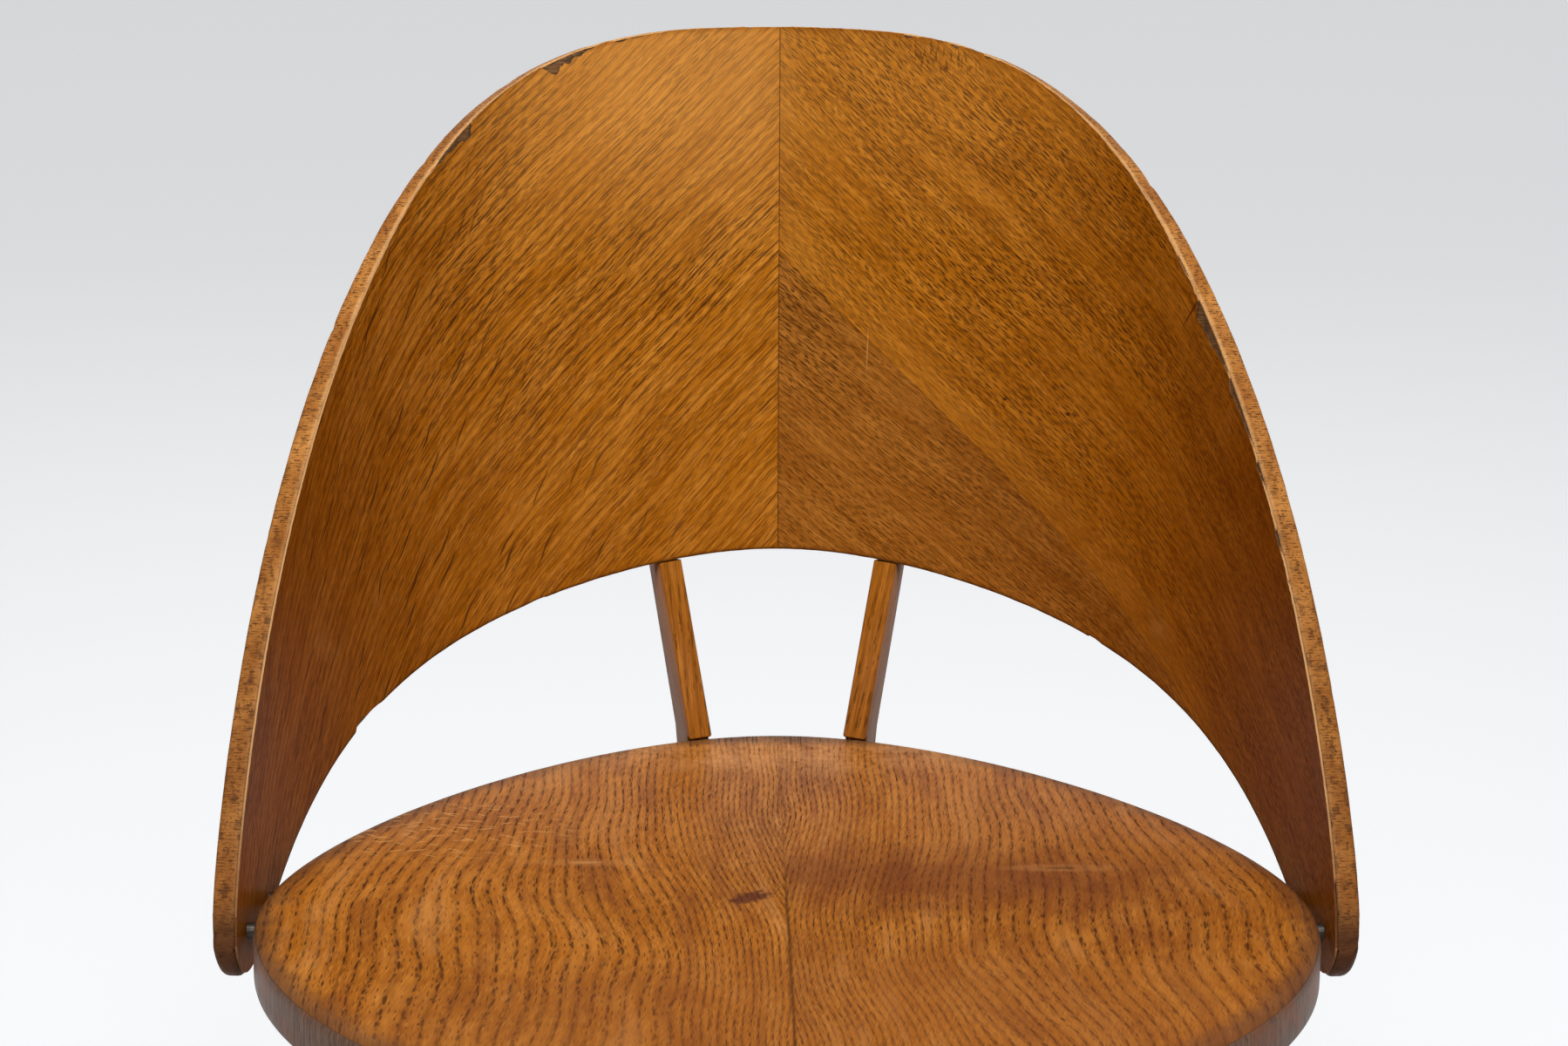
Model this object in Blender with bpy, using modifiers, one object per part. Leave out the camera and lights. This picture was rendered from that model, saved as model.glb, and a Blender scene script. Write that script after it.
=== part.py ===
"""Plywood dining chair: a bent arched back, a rounded seat and four splayed legs.

Metres, +Z up. The chair faces -Y and stands on z = 0.
"""
import math

import bmesh
import bpy
from mathutils import Matrix, Vector
from mathutils.geometry import interpolate_bezier

# Fits
GAP = 0.0003
VENEER = 0.0009

# Fineness of curved shapes
ROUND_SEGMENTS = 20
SEAT_RESOLUTION = 16
BACK_RESOLUTION = 12
OUTLINE_STEPS = 60
PLAN_STEPS = 3000
WELD = 0.00001
CUT_TOLERANCE = 1e-7
FLAT_ANGLE = math.radians(0.05)
ROUNDED_ANGLE = math.radians(50)
SQUARE_ANGLE = math.radians(80)

# Seat outline: its widest line lies at y = 0
SEAT_HEIGHT = 0.450
SEAT_THICKNESS = 0.022
SEAT_HALF_WIDTH = 0.223
SEAT_REAR = 0.2285
SEAT_FRONT = 0.210
SEAT_REAR_PULL = 0.096
SEAT_REAR_SIDE_PULL = 0.094
SEAT_FRONT_PULL = 0.115
SEAT_FRONT_SIDE_PULL = 0.114
SEAT_EDGE_ROUND = 0.003
SEAT_VENEER_INSET = 0.003

# Back: a sheet bent to part of a superellipse in plan, leaning about a line at seat level
BACK_THICKNESS = 0.0105
BACK_RECLINE = math.radians(12.5)
BACK_PIVOT_Y = -0.022
BACK_SETBACK = 0.020
BACK_CURVE_CENTRE = -0.230
BACK_CURVE_POWER = 3.25
BACK_COLUMNS = 30
BACK_EDGE_ROUND = 0.001

# Back outline, on the flattened sheet: height from the seat's level and run from the tips
BACK_TOP = 0.386
BACK_TOP_PULL = 0.087
SHOULDER_RUN = 0.1775
SHOULDER_HEIGHT = 0.285
SHOULDER_SLOPE = math.radians(51.4)
SHOULDER_PULL_UP = 0.118
SHOULDER_PULL_DOWN = 0.080
ARCH_TOP = 0.141
ARCH_TOP_PULL = 0.103
ARCH_END_RUN = 0.0466
ARCH_END_HEIGHT = -0.012
ARCH_END_SLOPE = math.radians(43.7)
ARCH_END_PULL = 0.1026
ARCH_END_CORNER = 0.008
TIP_FRONT = 0.0115
TIP_GAP = 0.0067
TIP_LEVEL = -0.003
TIP_LEVEL_PULL = 0.056
TIP_BOTTOM = -0.0235
TIP_BOTTOM_RUN = 0.020
TIP_CORNER = 0.011

# Slanted seam of the right-hand back veneer
SEAM_HEIGHT = 0.280
SEAM_SLOPE = math.radians(44)

# Posts between the seat's rear edge and the back's lower edge
POST_WIDTH = 0.0105
POST_X = 0.037
POST_TOP_X = 0.0505
POST_TOE = math.radians(16)
POST_DEPTH_TOP = 0.024
POST_DEPTH_BOTTOM = 0.027
POST_LIP = 0.005
POST_LIP_GAP = 0.0008
POST_SEAT_CLEAR = 0.0010
POST_OVERLAP = 0.050
POST_TONGUE = 0.012
POST_EDGE_ROUND = 0.0006
REBATE_FRONT = 0.006

# Legs stand on the diagonals through a point behind the seat's widest line
FRAME_CENTRE_Y = 0.030
LEG_TOP_RADIUS = 0.155
LEG_FOOT_RADIUS = 0.265
LEG_TOP_WIDTH = 0.034
LEG_FOOT_WIDTH = 0.022
LEG_EDGE_ROUND = 0.0025
RAIL_HEIGHT = 0.045
RAIL_WIDTH = 0.022
RAIL_EDGE_ROUND = 0.0015
GLIDE_RADIUS = 0.009
GLIDE_HEIGHT = 0.004
GLIDE_PIN_RADIUS = 0.0015
GLIDE_PIN_LENGTH = 0.012

# Fasteners: shank and head radii, head height, and how deep each one bites
HEAD_CROWN = 0.6
HEAD_EDGE = 0.4
TIP_SCREW = (0.0020, 0.0040, 0.0022)
TIP_SCREW_RUNS = (0.020, 0.055)
TIP_SCREW_BITE = 0.020
SPACER_RADIUS = 0.0034
SPACER_SEAT_CLEAR = 0.0007
POST_SCREW = (0.0018, 0.0036, 0.0020)
POST_BACK_BITE = 0.0065
POST_BACK_GRIP = 0.006
POST_SEAT_BITE = 0.022
SEAT_SCREW = (0.0022, 0.0045, 0.0030)
SEAT_SCREW_RADIUS = 0.075
SEAT_SCREW_RECESS = 0.020
SEAT_SCREW_BITE = 0.013
LEG_BOLT = (0.0030, 0.0060, 0.0040)
LEG_BOLT_HEAD_OFFSET = 0.006
LEG_BOLT_PAST_NUT = 0.008
NUT_RADIUS = 0.005
NUT_INSET = 0.035
NUT_SHORTER = 0.004
BORE_REACH = 0.040

# Looks: colour, roughness, metallic
OAK_FACE = ((0.40, 0.17, 0.040), 0.42, 0.0)
OAK_EDGE = ((0.30, 0.14, 0.050), 0.50, 0.0)
OAK_FRAME = ((0.34, 0.15, 0.040), 0.48, 0.0)
STEEL = ((0.55, 0.54, 0.52), 0.35, 1.0)
BRASS = ((0.60, 0.44, 0.20), 0.35, 1.0)
NYLON = ((0.10, 0.09, 0.08), 0.60, 0.0)

SIDES = (("left", -1), ("right", 1))
CORNERS = (("front_left", -1, -1), ("front_right", 1, -1), ("rear_left", -1, 1), ("rear_right", 1, 1))


# Scene helpers

def clear_scene():
    for obj in list(bpy.data.objects):
        bpy.data.objects.remove(obj, do_unlink=True)


def new_collection(name):
    collection = bpy.data.collections.new(name)
    bpy.context.scene.collection.children.link(collection)
    return collection


def new_material(name, look):
    colour, roughness, metallic = look
    material = bpy.data.materials.new(name)
    material.use_nodes = True
    shader = material.node_tree.nodes["Principled BSDF"]
    shader.inputs["Base Color"].default_value = (*colour, 1.0)
    shader.inputs["Roughness"].default_value = roughness
    shader.inputs["Metallic"].default_value = metallic
    return material


def add_empty(name, parent=None):
    empty = bpy.data.objects.new(name, None)
    parts.objects.link(empty)
    empty.parent = parent
    return empty


def add_part(name, mesh, look, parent, matrix=None):
    obj = bpy.data.objects.new(name, mesh)
    parts.objects.link(obj)
    mesh.materials.clear()
    mesh.materials.append(new_material(name, look))
    obj.parent = parent
    if matrix is not None:
        obj.matrix_local = matrix
    return obj


def add_cutter(name, mesh, parent):
    obj = bpy.data.objects.new(name, mesh)
    cutters.objects.link(obj)
    obj.hide_render = True
    obj.display_type = "WIRE"
    obj.parent = parent
    return obj


def cut(obj, cutter):
    modifier = obj.modifiers.new(cutter.name, "BOOLEAN")
    modifier.operation = "DIFFERENCE"
    modifier.solver = "EXACT"
    modifier.object = cutter


def round_edges(obj, width, segments=2, angle=ROUNDED_ANGLE):
    modifier = obj.modifiers.new("rounded edges", "BEVEL")
    modifier.width = width
    modifier.segments = segments
    modifier.limit_method = "ANGLE"
    modifier.angle_limit = angle


# Mesh helpers

def mesh_from_bmesh(name, bm):
    mesh = bpy.data.meshes.new(name)
    bm.to_mesh(mesh)
    bm.free()
    return mesh


def curve_mesh(name, knots, extrude, resolution=BACK_RESOLUTION):
    """Mesh of a flat closed outline. A knot is a point, or a point with its two handles."""
    curve = bpy.data.curves.new(name, "CURVE")
    curve.dimensions = "2D"
    curve.fill_mode = "BOTH"
    curve.extrude = extrude
    curve.resolution_u = resolution
    straight = len(knots[0]) == 2
    spline = curve.splines.new("POLY" if straight else "BEZIER")
    spline.use_cyclic_u = True
    if straight:
        spline.points.add(len(knots) - 1)
        for point, knot in zip(spline.points, knots):
            point.co = (knot[0], knot[1], 0.0, 1.0)
    else:
        spline.bezier_points.add(len(knots) - 1)
        for point, (co, left, right) in zip(spline.bezier_points, knots):
            point.co = (*co, 0.0)
            point.handle_left = (*left, 0.0)
            point.handle_right = (*right, 0.0)
    holder = bpy.data.objects.new(name, curve)
    parts.objects.link(holder)
    depsgraph = bpy.context.evaluated_depsgraph_get()
    mesh = bpy.data.meshes.new_from_object(holder.evaluated_get(depsgraph))
    bpy.data.objects.remove(holder, do_unlink=True)
    bpy.data.curves.remove(curve)
    bm = bmesh.new()
    bm.from_mesh(mesh)
    bpy.data.meshes.remove(mesh)
    bmesh.ops.remove_doubles(bm, verts=bm.verts, dist=WELD)
    if extrude > 0:
        bmesh.ops.dissolve_limit(bm, angle_limit=FLAT_ANGLE, verts=bm.verts, edges=bm.edges)
        bmesh.ops.recalc_face_normals(bm, faces=bm.faces)
    else:
        bmesh.ops.dissolve_faces(bm, faces=bm.faces)
    return mesh_from_bmesh(name, bm)


def upright(mesh):
    """Stands a flat outline up: its X becomes depth (Y), its Y height, and its thickness X."""
    mesh.transform(Matrix(((0, 0, 1, 0), (1, 0, 0, 0), (0, 1, 0, 0), (0, 0, 0, 1))))
    return mesh


def turned(name, profile, look, parent, matrix, closed=False):
    """Part turned about its Z axis from (radius, height) points."""
    mesh = bpy.data.meshes.new(name)
    count = len(profile)
    edges = [(i, (i + 1) % count) for i in range(count if closed else count - 1)]
    mesh.from_pydata([(radius, 0.0, height) for radius, height in profile], edges, [])
    obj = add_part(name, mesh, look, parent, matrix)
    screw = obj.modifiers.new("turn", "SCREW")
    screw.steps = ROUND_SEGMENTS
    screw.render_steps = ROUND_SEGMENTS
    screw.use_merge_vertices = True
    screw.merge_threshold = WELD
    screw.use_normal_calculate = True
    screw.use_normal_flip = True
    return obj


def aim(origin, direction):
    """Matrix whose origin is given and whose Z axis points along a direction."""
    return Matrix.Translation(origin) @ direction.to_track_quat("Z", "Y").to_matrix().to_4x4()


def bores_mesh(name, bores):
    """Cylinders, each (origin, direction, radius, start, end) along its direction."""
    bm = bmesh.new()
    for origin, direction, radius, start, end in bores:
        middle = aim(origin, direction) @ Matrix.Translation((0, 0, (start + end) / 2))
        bmesh.ops.create_cone(bm, cap_ends=True, segments=ROUND_SEGMENTS, radius1=radius,
                              radius2=radius, depth=end - start, matrix=middle)
    return mesh_from_bmesh(name, bm)


def screw_profile(kind, length):
    """Pan-headed screw: the head's seat at height 0, the shank pointing up."""
    shank, head, head_height = kind
    return [(0, -head_height), (HEAD_CROWN * head, -head_height), (head, -HEAD_EDGE * head_height),
            (head, 0), (shank, 0), (shank, length - 2 * shank), (0, length)]


def bolt_profile(kind, length):
    shank, head, head_height = kind
    return [(0, -head_height), (head, -head_height), (head, 0), (shank, 0), (shank, length), (0, length)]


# Seat

def seat_knots(inset):
    """Right half of the seat outline from the front, as (point, handle before, handle after)."""
    half = SEAT_HALF_WIDTH - inset
    front = -(SEAT_FRONT - inset)
    rear = SEAT_REAR - inset
    return (((0, front), (-SEAT_FRONT_PULL, front), (SEAT_FRONT_PULL, front)),
            ((half, 0), (half, -SEAT_FRONT_SIDE_PULL), (half, SEAT_REAR_SIDE_PULL)),
            ((0, rear), (SEAT_REAR_PULL, rear), (-SEAT_REAR_PULL, rear)))


def mirrored(knot):
    point, before, after = knot
    return tuple((-x, y) for x, y in (point, after, before))


def seat_outline_points():
    """Right half of the seat outline as points from the front middle to the rear middle."""
    knots = seat_knots(0.0)
    points = []
    for (start, _, out), (end, into, _) in zip(knots, knots[1:]):
        points += interpolate_bezier(Vector(start), Vector(out), Vector(into), Vector(end), OUTLINE_STEPS)
    return points


def seat_rear_y(x):
    """Where the seat's rear edge lies at a distance from the centre line."""
    points = [point for point in seat_outline_points() if point.y > 0]
    for first, second in zip(points, points[1:]):
        if second.x <= x <= first.x and first.x > second.x:
            share = (x - second.x) / (first.x - second.x)
            return second.y + share * (first.y - second.y)
    return SEAT_REAR


def distance_to_seat_edge(point, direction):
    """How far the seat's edge lies from a point, in plan, along a level direction."""
    points = seat_outline_points()
    start = Vector((abs(point.x), point.y))
    heading = Vector((-abs(direction.x), direction.y))
    for first, second in zip(points, points[1:]):
        along = second - first
        cross = heading.x * along.y - heading.y * along.x
        if cross == 0:
            continue
        offset = first - start
        share = (offset.x * heading.y - offset.y * heading.x) / cross
        if 0 <= share <= 1:
            return (offset.x * along.y - offset.y * along.x) / cross
    return TIP_GAP


def build_seat():
    right = seat_knots(0.0)
    outline = (right[0], right[1], right[2], mirrored(right[1]))
    thickness = SEAT_THICKNESS - VENEER - GAP
    mesh = curve_mesh("seat_panel", outline, thickness / 2, SEAT_RESOLUTION)
    middle = SEAT_HEIGHT - SEAT_THICKNESS + thickness / 2
    panel = add_part("seat_panel", mesh, OAK_EDGE, chair, Matrix.Translation((0, 0, middle)))
    round_edges(panel, SEAT_EDGE_ROUND - VENEER)
    for name, side in SIDES:
        front, widest, rear = seat_knots(SEAT_VENEER_INSET)
        seam = GAP / 2
        half = (((seam, front[0][1]), (seam, front[0][1] + seam), front[2]),
                widest,
                ((seam, rear[0][1]), rear[1], (seam, rear[0][1] - seam)))
        if side < 0:
            half = tuple(mirrored(knot) for knot in reversed(half))
        mesh = curve_mesh(f"seat_veneer_{name}", half, VENEER / 2, SEAT_RESOLUTION)
        level = Matrix.Translation((0, 0, SEAT_HEIGHT - VENEER / 2))
        add_part(f"seat_veneer_{name}", mesh, OAK_FACE, chair, level)
    return panel


# Back

def back_curve_size():
    """Half width and depth of the plan curve, from the tips' and the arch's places by the seat."""
    reach = SEAT_REAR + BACK_SETBACK - BACK_PIVOT_Y - ARCH_TOP * math.sin(BACK_RECLINE)
    depth = reach / math.cos(BACK_RECLINE) - BACK_CURVE_CENTRE
    share = (TIP_FRONT - BACK_CURVE_CENTRE) / depth
    half = (SEAT_HALF_WIDTH + TIP_GAP) / (1 - share ** BACK_CURVE_POWER) ** (1 / BACK_CURVE_POWER)
    return half, depth


def back_columns():
    """Plan of the sheet's inner face at even steps: (arc length, place, outward normal)."""
    half, depth = back_curve_size()
    power = BACK_CURVE_POWER
    plan = []
    for i in range(PLAN_STEPS + 1):
        x = (SEAT_HALF_WIDTH + TIP_GAP) * i / PLAN_STEPS
        y = BACK_CURVE_CENTRE + depth * (1 - (x / half) ** power) ** (1 / power)
        plan.append(Vector((x, y)))
    arc = [0.0]
    for first, second in zip(plan, plan[1:]):
        arc.append(arc[-1] + (second - first).length)
    columns = []
    index = 0
    for i in range(BACK_COLUMNS + 1):
        target = arc[-1] * i / BACK_COLUMNS
        while arc[index + 1] < target and index < PLAN_STEPS - 1:
            index += 1
        along = (plan[index + 1] - plan[index]).normalized()
        normal = Vector((-along.y, along.x)) if i else Vector((0, 1))
        share = (target - arc[index]) / (arc[index + 1] - arc[index])
        columns.append((target, plan[index].lerp(plan[index + 1], share), normal))
    left = [(-s, Vector((-p.x, p.y)), Vector((-n.x, n.y))) for s, p, n in reversed(columns[1:])]
    return left + columns


def bend(s, t, depth):
    """Point of the back, in its own frame: s along the sheet, t up it, depth through it."""
    pair = next((k for k in range(1, len(columns) - 1) if columns[k][0] >= s), len(columns) - 1)
    s0, place0, normal0 = columns[pair - 1]
    s1, place1, normal1 = columns[pair]
    share = (s - s0) / (s1 - s0)
    place = place0.lerp(place1, share) + normal0.lerp(normal1, share).normalized() * depth
    return Vector((place.x, place.y, t))


def sheet_normal(s):
    return (bend(s, 0, 1) - bend(s, 0, 0)).normalized()


def arc_at(x):
    """Arc length along the sheet at a distance from the centre line."""
    for (s0, place0, _), (s1, place1, _) in zip(columns, columns[1:]):
        if place0.x <= x <= place1.x:
            return s0 + (s1 - s0) * (x - place0.x) / (place1.x - place0.x)
    return columns[-1][0]


def back_knots(drop=0.0):
    """Outline of the flattened back. The lower arch can be let down by a clearance."""
    end = columns[-1][0]
    shoulder = Vector((end - SHOULDER_RUN, SHOULDER_HEIGHT))
    fall = Vector((math.cos(SHOULDER_SLOPE), -math.sin(SHOULDER_SLOPE)))
    foot = Vector((end - ARCH_END_RUN, ARCH_END_HEIGHT - drop))
    rise = Vector((-math.cos(ARCH_END_SLOPE), math.sin(ARCH_END_SLOPE)))
    bottom = end - TIP_BOTTOM_RUN
    low = TIP_BOTTOM - drop
    crown = ARCH_TOP - drop
    right = (
        (shoulder, shoulder - fall * SHOULDER_PULL_UP, shoulder + fall * SHOULDER_PULL_DOWN),
        ((end, TIP_LEVEL), (end, TIP_LEVEL + TIP_LEVEL_PULL), (end, TIP_LEVEL - TIP_CORNER)),
        ((bottom, low), (bottom + TIP_CORNER, low), (bottom - TIP_CORNER, low)),
        (foot, foot - rise * ARCH_END_CORNER, foot + rise * ARCH_END_PULL))
    top = ((0, BACK_TOP), (-BACK_TOP_PULL, BACK_TOP), (BACK_TOP_PULL, BACK_TOP))
    arch = ((0, crown), (ARCH_TOP_PULL, crown), (-ARCH_TOP_PULL, crown))
    return (top, *right, arch, *(mirrored(knot) for knot in reversed(right)))


def arch_height(s):
    """Height of the back's lower edge on the flattened sheet, near the middle."""
    knots = back_knots()
    foot, crown = knots[4], knots[5]
    points = interpolate_bezier(Vector(foot[0]), Vector(foot[2]), Vector(crown[1]), Vector(crown[0]),
                                OUTLINE_STEPS)
    for first, second in zip(points, points[1:]):
        if second.x <= abs(s) <= first.x:
            share = (abs(s) - second.x) / (first.x - second.x)
            return second.y + share * (first.y - second.y)
    return ARCH_TOP


def sheet_mesh(name, depth, trims=(), drop=0.0):
    """Open bent surface. A trim is (point, normal) on the flat sheet; what lies along it is cut off."""
    mesh = curve_mesh(name, back_knots(drop), 0.0)
    bm = bmesh.new()
    bm.from_mesh(mesh)
    bpy.data.meshes.remove(mesh)
    for point, normal in trims:
        geometry = [*bm.verts, *bm.edges, *bm.faces]
        bmesh.ops.bisect_plane(bm, geom=geometry, dist=CUT_TOLERANCE, plane_co=(*point, 0),
                               plane_no=(*normal, 0), clear_outer=True)
    for s, _, _ in columns[1:-1]:
        geometry = [*bm.verts, *bm.edges, *bm.faces]
        bmesh.ops.bisect_plane(bm, geom=geometry, dist=CUT_TOLERANCE, plane_co=(s, 0, 0),
                               plane_no=(1, 0, 0))
    for vert in bm.verts:
        vert.co = bend(vert.co.x, vert.co.y, depth)
    bmesh.ops.recalc_face_normals(bm, faces=bm.faces)
    bm.normal_update()
    if sum(face.normal.y * face.calc_area() for face in bm.faces) > 0:
        bmesh.ops.reverse_faces(bm, faces=bm.faces)
    return mesh_from_bmesh(name, bm)


def thicken(obj, thickness):
    """Solid from the inner face outward."""
    modifier = obj.modifiers.new("thickness", "SOLIDIFY")
    modifier.thickness = thickness
    modifier.offset = -1.0
    modifier.use_even_offset = True


def build_back():
    panel = add_part("back_panel", sheet_mesh("back_panel", VENEER + GAP), OAK_EDGE, back_frame)
    thicken(panel, BACK_THICKNESS - VENEER - GAP)
    round_edges(panel, BACK_EDGE_ROUND)
    seam = GAP / 2
    across = Vector((math.sin(SEAM_SLOPE), math.cos(SEAM_SLOPE)))
    joint = Vector((0, SEAM_HEIGHT))
    leaves = (("left", (((-seam, 0), (1, 0)),)),
              ("right_upper", (((seam, 0), (-1, 0)), (joint + across * seam, -across))),
              ("right_lower", (((seam, 0), (-1, 0)), (joint - across * seam, across))))
    veneers = []
    for leaf, trims in leaves:
        name = f"back_veneer_{leaf}"
        veneer = add_part(name, sheet_mesh(name, 0.0, trims), OAK_FACE, back_frame)
        thicken(veneer, VENEER)
        veneers.append(veneer)
    return panel, veneers


def build_tip_fixings(seat, panel, veneers):
    """Screws through the tips into the seat's edge, each with a spacer in the gap."""
    bores = {"left": [], "right": []}
    for name, side in SIDES:
        for number, run in enumerate(TIP_SCREW_RUNS, 1):
            s = side * (columns[-1][0] - run)
            flat = bend(s, 0, 0)
            level = -SEAT_THICKNESS / 2 + flat.y * math.sin(BACK_RECLINE)
            t = level / math.cos(BACK_RECLINE)
            inner = back_matrix @ bend(s, t, 0)
            inward = -(back_matrix.to_3x3() @ sheet_normal(s))
            gap = distance_to_seat_edge(inner, inward)
            length = GAP + BACK_THICKNESS + gap + TIP_SCREW_BITE
            head = inner - inward * (BACK_THICKNESS + GAP)
            bore = TIP_SCREW[0] + GAP
            turned(f"tip_screw_{name}_{number}", screw_profile(TIP_SCREW, length), STEEL, chair,
                   aim(head, inward))
            tube = [(bore, GAP), (SPACER_RADIUS, GAP),
                    (SPACER_RADIUS, gap - SPACER_SEAT_CLEAR), (bore, gap - SPACER_SEAT_CLEAR)]
            turned(f"tip_spacer_{name}_{number}", tube, STEEL, chair, aim(inner, inward), closed=True)
            bores[name].append((head, inward, bore, -GAP, length + GAP))
    for name, drilled in bores.items():
        cutter = add_cutter(f"tip_bores_{name}", bores_mesh(f"tip_bores_{name}", drilled), chair)
        cut(seat, cutter)
        cut(panel, cutter)
        for veneer in veneers:
            if name == "left" and veneer.name.endswith("left"):
                cut(veneer, cutter)
            if name == "right" and veneer.name.endswith("upper"):
                cut(veneer, cutter)


# Posts

def build_posts(seat, panel):
    rebate_mesh = sheet_mesh("back_rebate", -REBATE_FRONT, drop=GAP)
    rebate = add_cutter("back_rebate", rebate_mesh, back_frame)
    thicken(rebate, REBATE_FRONT + BACK_THICKNESS + GAP)
    for name, side in SIDES:
        toe = Vector((side * math.sin(POST_TOE), math.cos(POST_TOE), 0))
        across = Vector((side * math.cos(POST_TOE), -math.sin(POST_TOE), 0))
        origin = Vector((side * POST_X, seat_rear_y(POST_X), SEAT_HEIGHT))
        s = side * arc_at(POST_TOP_X)
        t = arch_height(s)
        meet = back_matrix @ bend(s, t, 0) - origin
        cant = math.atan2(meet.dot(across), meet.z)
        up = Vector((0, 0, 1)) * math.cos(cant) + across * math.sin(cant)
        frame = Matrix.Translation(origin) @ Matrix((toe.cross(up), toe, up)).transposed().to_4x4()
        to_post = frame.inverted()
        front = to_post @ (back_matrix @ bend(s, t, 0))
        top = to_post @ (back_matrix @ bend(s, t + POST_OVERLAP, BACK_THICKNESS / 2))
        heel = POST_DEPTH_BOTTOM - POST_LIP
        tongue = top.y + BACK_THICKNESS / 2 + POST_TONGUE
        profile = [(-POST_LIP, POST_LIP_GAP), (POST_SEAT_CLEAR, POST_LIP_GAP),
                   (POST_SEAT_CLEAR, -SEAT_THICKNESS), (heel, -SEAT_THICKNESS), (heel, 0),
                   (front.y + POST_DEPTH_TOP, front.z), (tongue, top.z), (top.y, top.z),
                   (front.y, front.z)]
        mesh = upright(curve_mesh(f"back_post_{name}", profile, POST_WIDTH / 2))
        post = add_part(f"back_post_{name}", mesh, OAK_FRAME, chair, frame)
        round_edges(post, POST_EDGE_ROUND, segments=1, angle=SQUARE_ANGLE)
        cut(post, rebate)
        build_post_screws(name, side, frame, front.lerp(top, 0.5), heel, post, seat, panel)


def build_post_screws(name, side, frame, middle, heel, post, seat, panel):
    """One screw from the tongue into the back, one through the foot into the seat's edge."""
    shank, head_radius, _ = POST_SCREW
    bore = shank + GAP
    place = frame @ Vector((0, middle.y, middle.z))
    s = side * arc_at(abs(place.x))
    t = (back_matrix.inverted() @ place).z
    outward = back_matrix.to_3x3() @ sheet_normal(s)
    face = back_matrix @ bend(s, t, BACK_THICKNESS)
    head = face + outward * (POST_BACK_GRIP + GAP)
    length = POST_BACK_GRIP + GAP + POST_BACK_BITE
    turned(f"post_back_screw_{name}", screw_profile(POST_SCREW, length), BRASS, chair, aim(head, -outward))
    drilled = [(head, -outward, bore, -GAP, length + GAP)]
    cutter = add_cutter(f"post_back_bore_{name}", bores_mesh(f"post_back_bore_{name}", drilled), chair)
    cut(post, cutter)
    cut(panel, cutter)
    recess = [(head, outward, head_radius + GAP, -GAP, BORE_REACH)]
    cut(post, add_cutter(f"post_recess_{name}", bores_mesh(f"post_recess_{name}", recess), chair))
    depth_axis = (frame.to_3x3() @ Vector((0, 1, 0))).normalized()
    heel_face = frame @ Vector((0, heel + GAP, -SEAT_THICKNESS / 2))
    length = heel + GAP + POST_SEAT_BITE
    turned(f"post_seat_screw_{name}", screw_profile(POST_SCREW, length), BRASS, chair,
           aim(heel_face, -depth_axis))
    drilled = [(heel_face, -depth_axis, bore, -GAP, length + GAP)]
    cutter = add_cutter(f"post_seat_bore_{name}", bores_mesh(f"post_seat_bore_{name}", drilled), chair)
    cut(post, cutter)
    cut(seat, cutter)


# Legs and rails

def leg_bottom():
    return GLIDE_HEIGHT + GAP


def seat_underside():
    return SEAT_HEIGHT - SEAT_THICKNESS - GAP


def leg_at(z):
    """Leg's distance from the frame's centre and its half width, at a height."""
    share = (z - leg_bottom()) / (seat_underside() - leg_bottom())
    radius = LEG_FOOT_RADIUS + (LEG_TOP_RADIUS - LEG_FOOT_RADIUS) * share
    half = (LEG_FOOT_WIDTH + (LEG_TOP_WIDTH - LEG_FOOT_WIDTH) * share) / 2
    return radius, half


def diagonal(side_x, side_y):
    """Matrix of a diagonal's frame: X points out along it, the origin is on the floor."""
    heading = math.atan2(side_y, side_x)
    return Matrix.Translation((0, FRAME_CENTRE_Y, 0)) @ Matrix.Rotation(heading, 4, "Z")


def leg_mesh(name):
    """Square leg that tapers to the foot and leans outward with level ends."""
    height = seat_underside() - leg_bottom()
    bm = bmesh.new()
    corner = math.sqrt(0.5)
    bmesh.ops.create_cone(bm, cap_ends=True, segments=4, radius1=LEG_FOOT_WIDTH * corner,
                          radius2=LEG_TOP_WIDTH * corner, depth=height,
                          matrix=Matrix.Rotation(math.pi / 4, 4, "Z"))
    for vert in bm.verts:
        vert.co.z += leg_bottom() + height / 2
        vert.co.x += leg_at(vert.co.z)[0]
    return mesh_from_bmesh(name, bm)


def rail_mesh(name, notch_from_top):
    """Rail along a diagonal, its ends cut to the legs, halved where it crosses the other rail."""
    top = seat_underside()
    bottom = top - RAIL_HEIGHT
    ends = [leg_at(z)[0] - leg_at(z)[1] - GAP for z in (bottom, top)]
    notch = RAIL_WIDTH / 2 + GAP
    middle = (top + bottom) / 2
    low = [(-ends[0], bottom), (ends[0], bottom)]
    high = [(ends[1], top), (-ends[1], top)]
    if notch_from_top:
        deep = middle - GAP / 2
        high[1:1] = [(notch, top), (notch, deep), (-notch, deep), (-notch, top)]
    else:
        deep = middle + GAP / 2
        low[1:1] = [(-notch, bottom), (-notch, deep), (notch, deep), (notch, bottom)]
    mesh = upright(curve_mesh(name, low + high, RAIL_WIDTH / 2))
    mesh.transform(Matrix.Rotation(-math.pi / 2, 4, "Z"))
    return mesh


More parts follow.
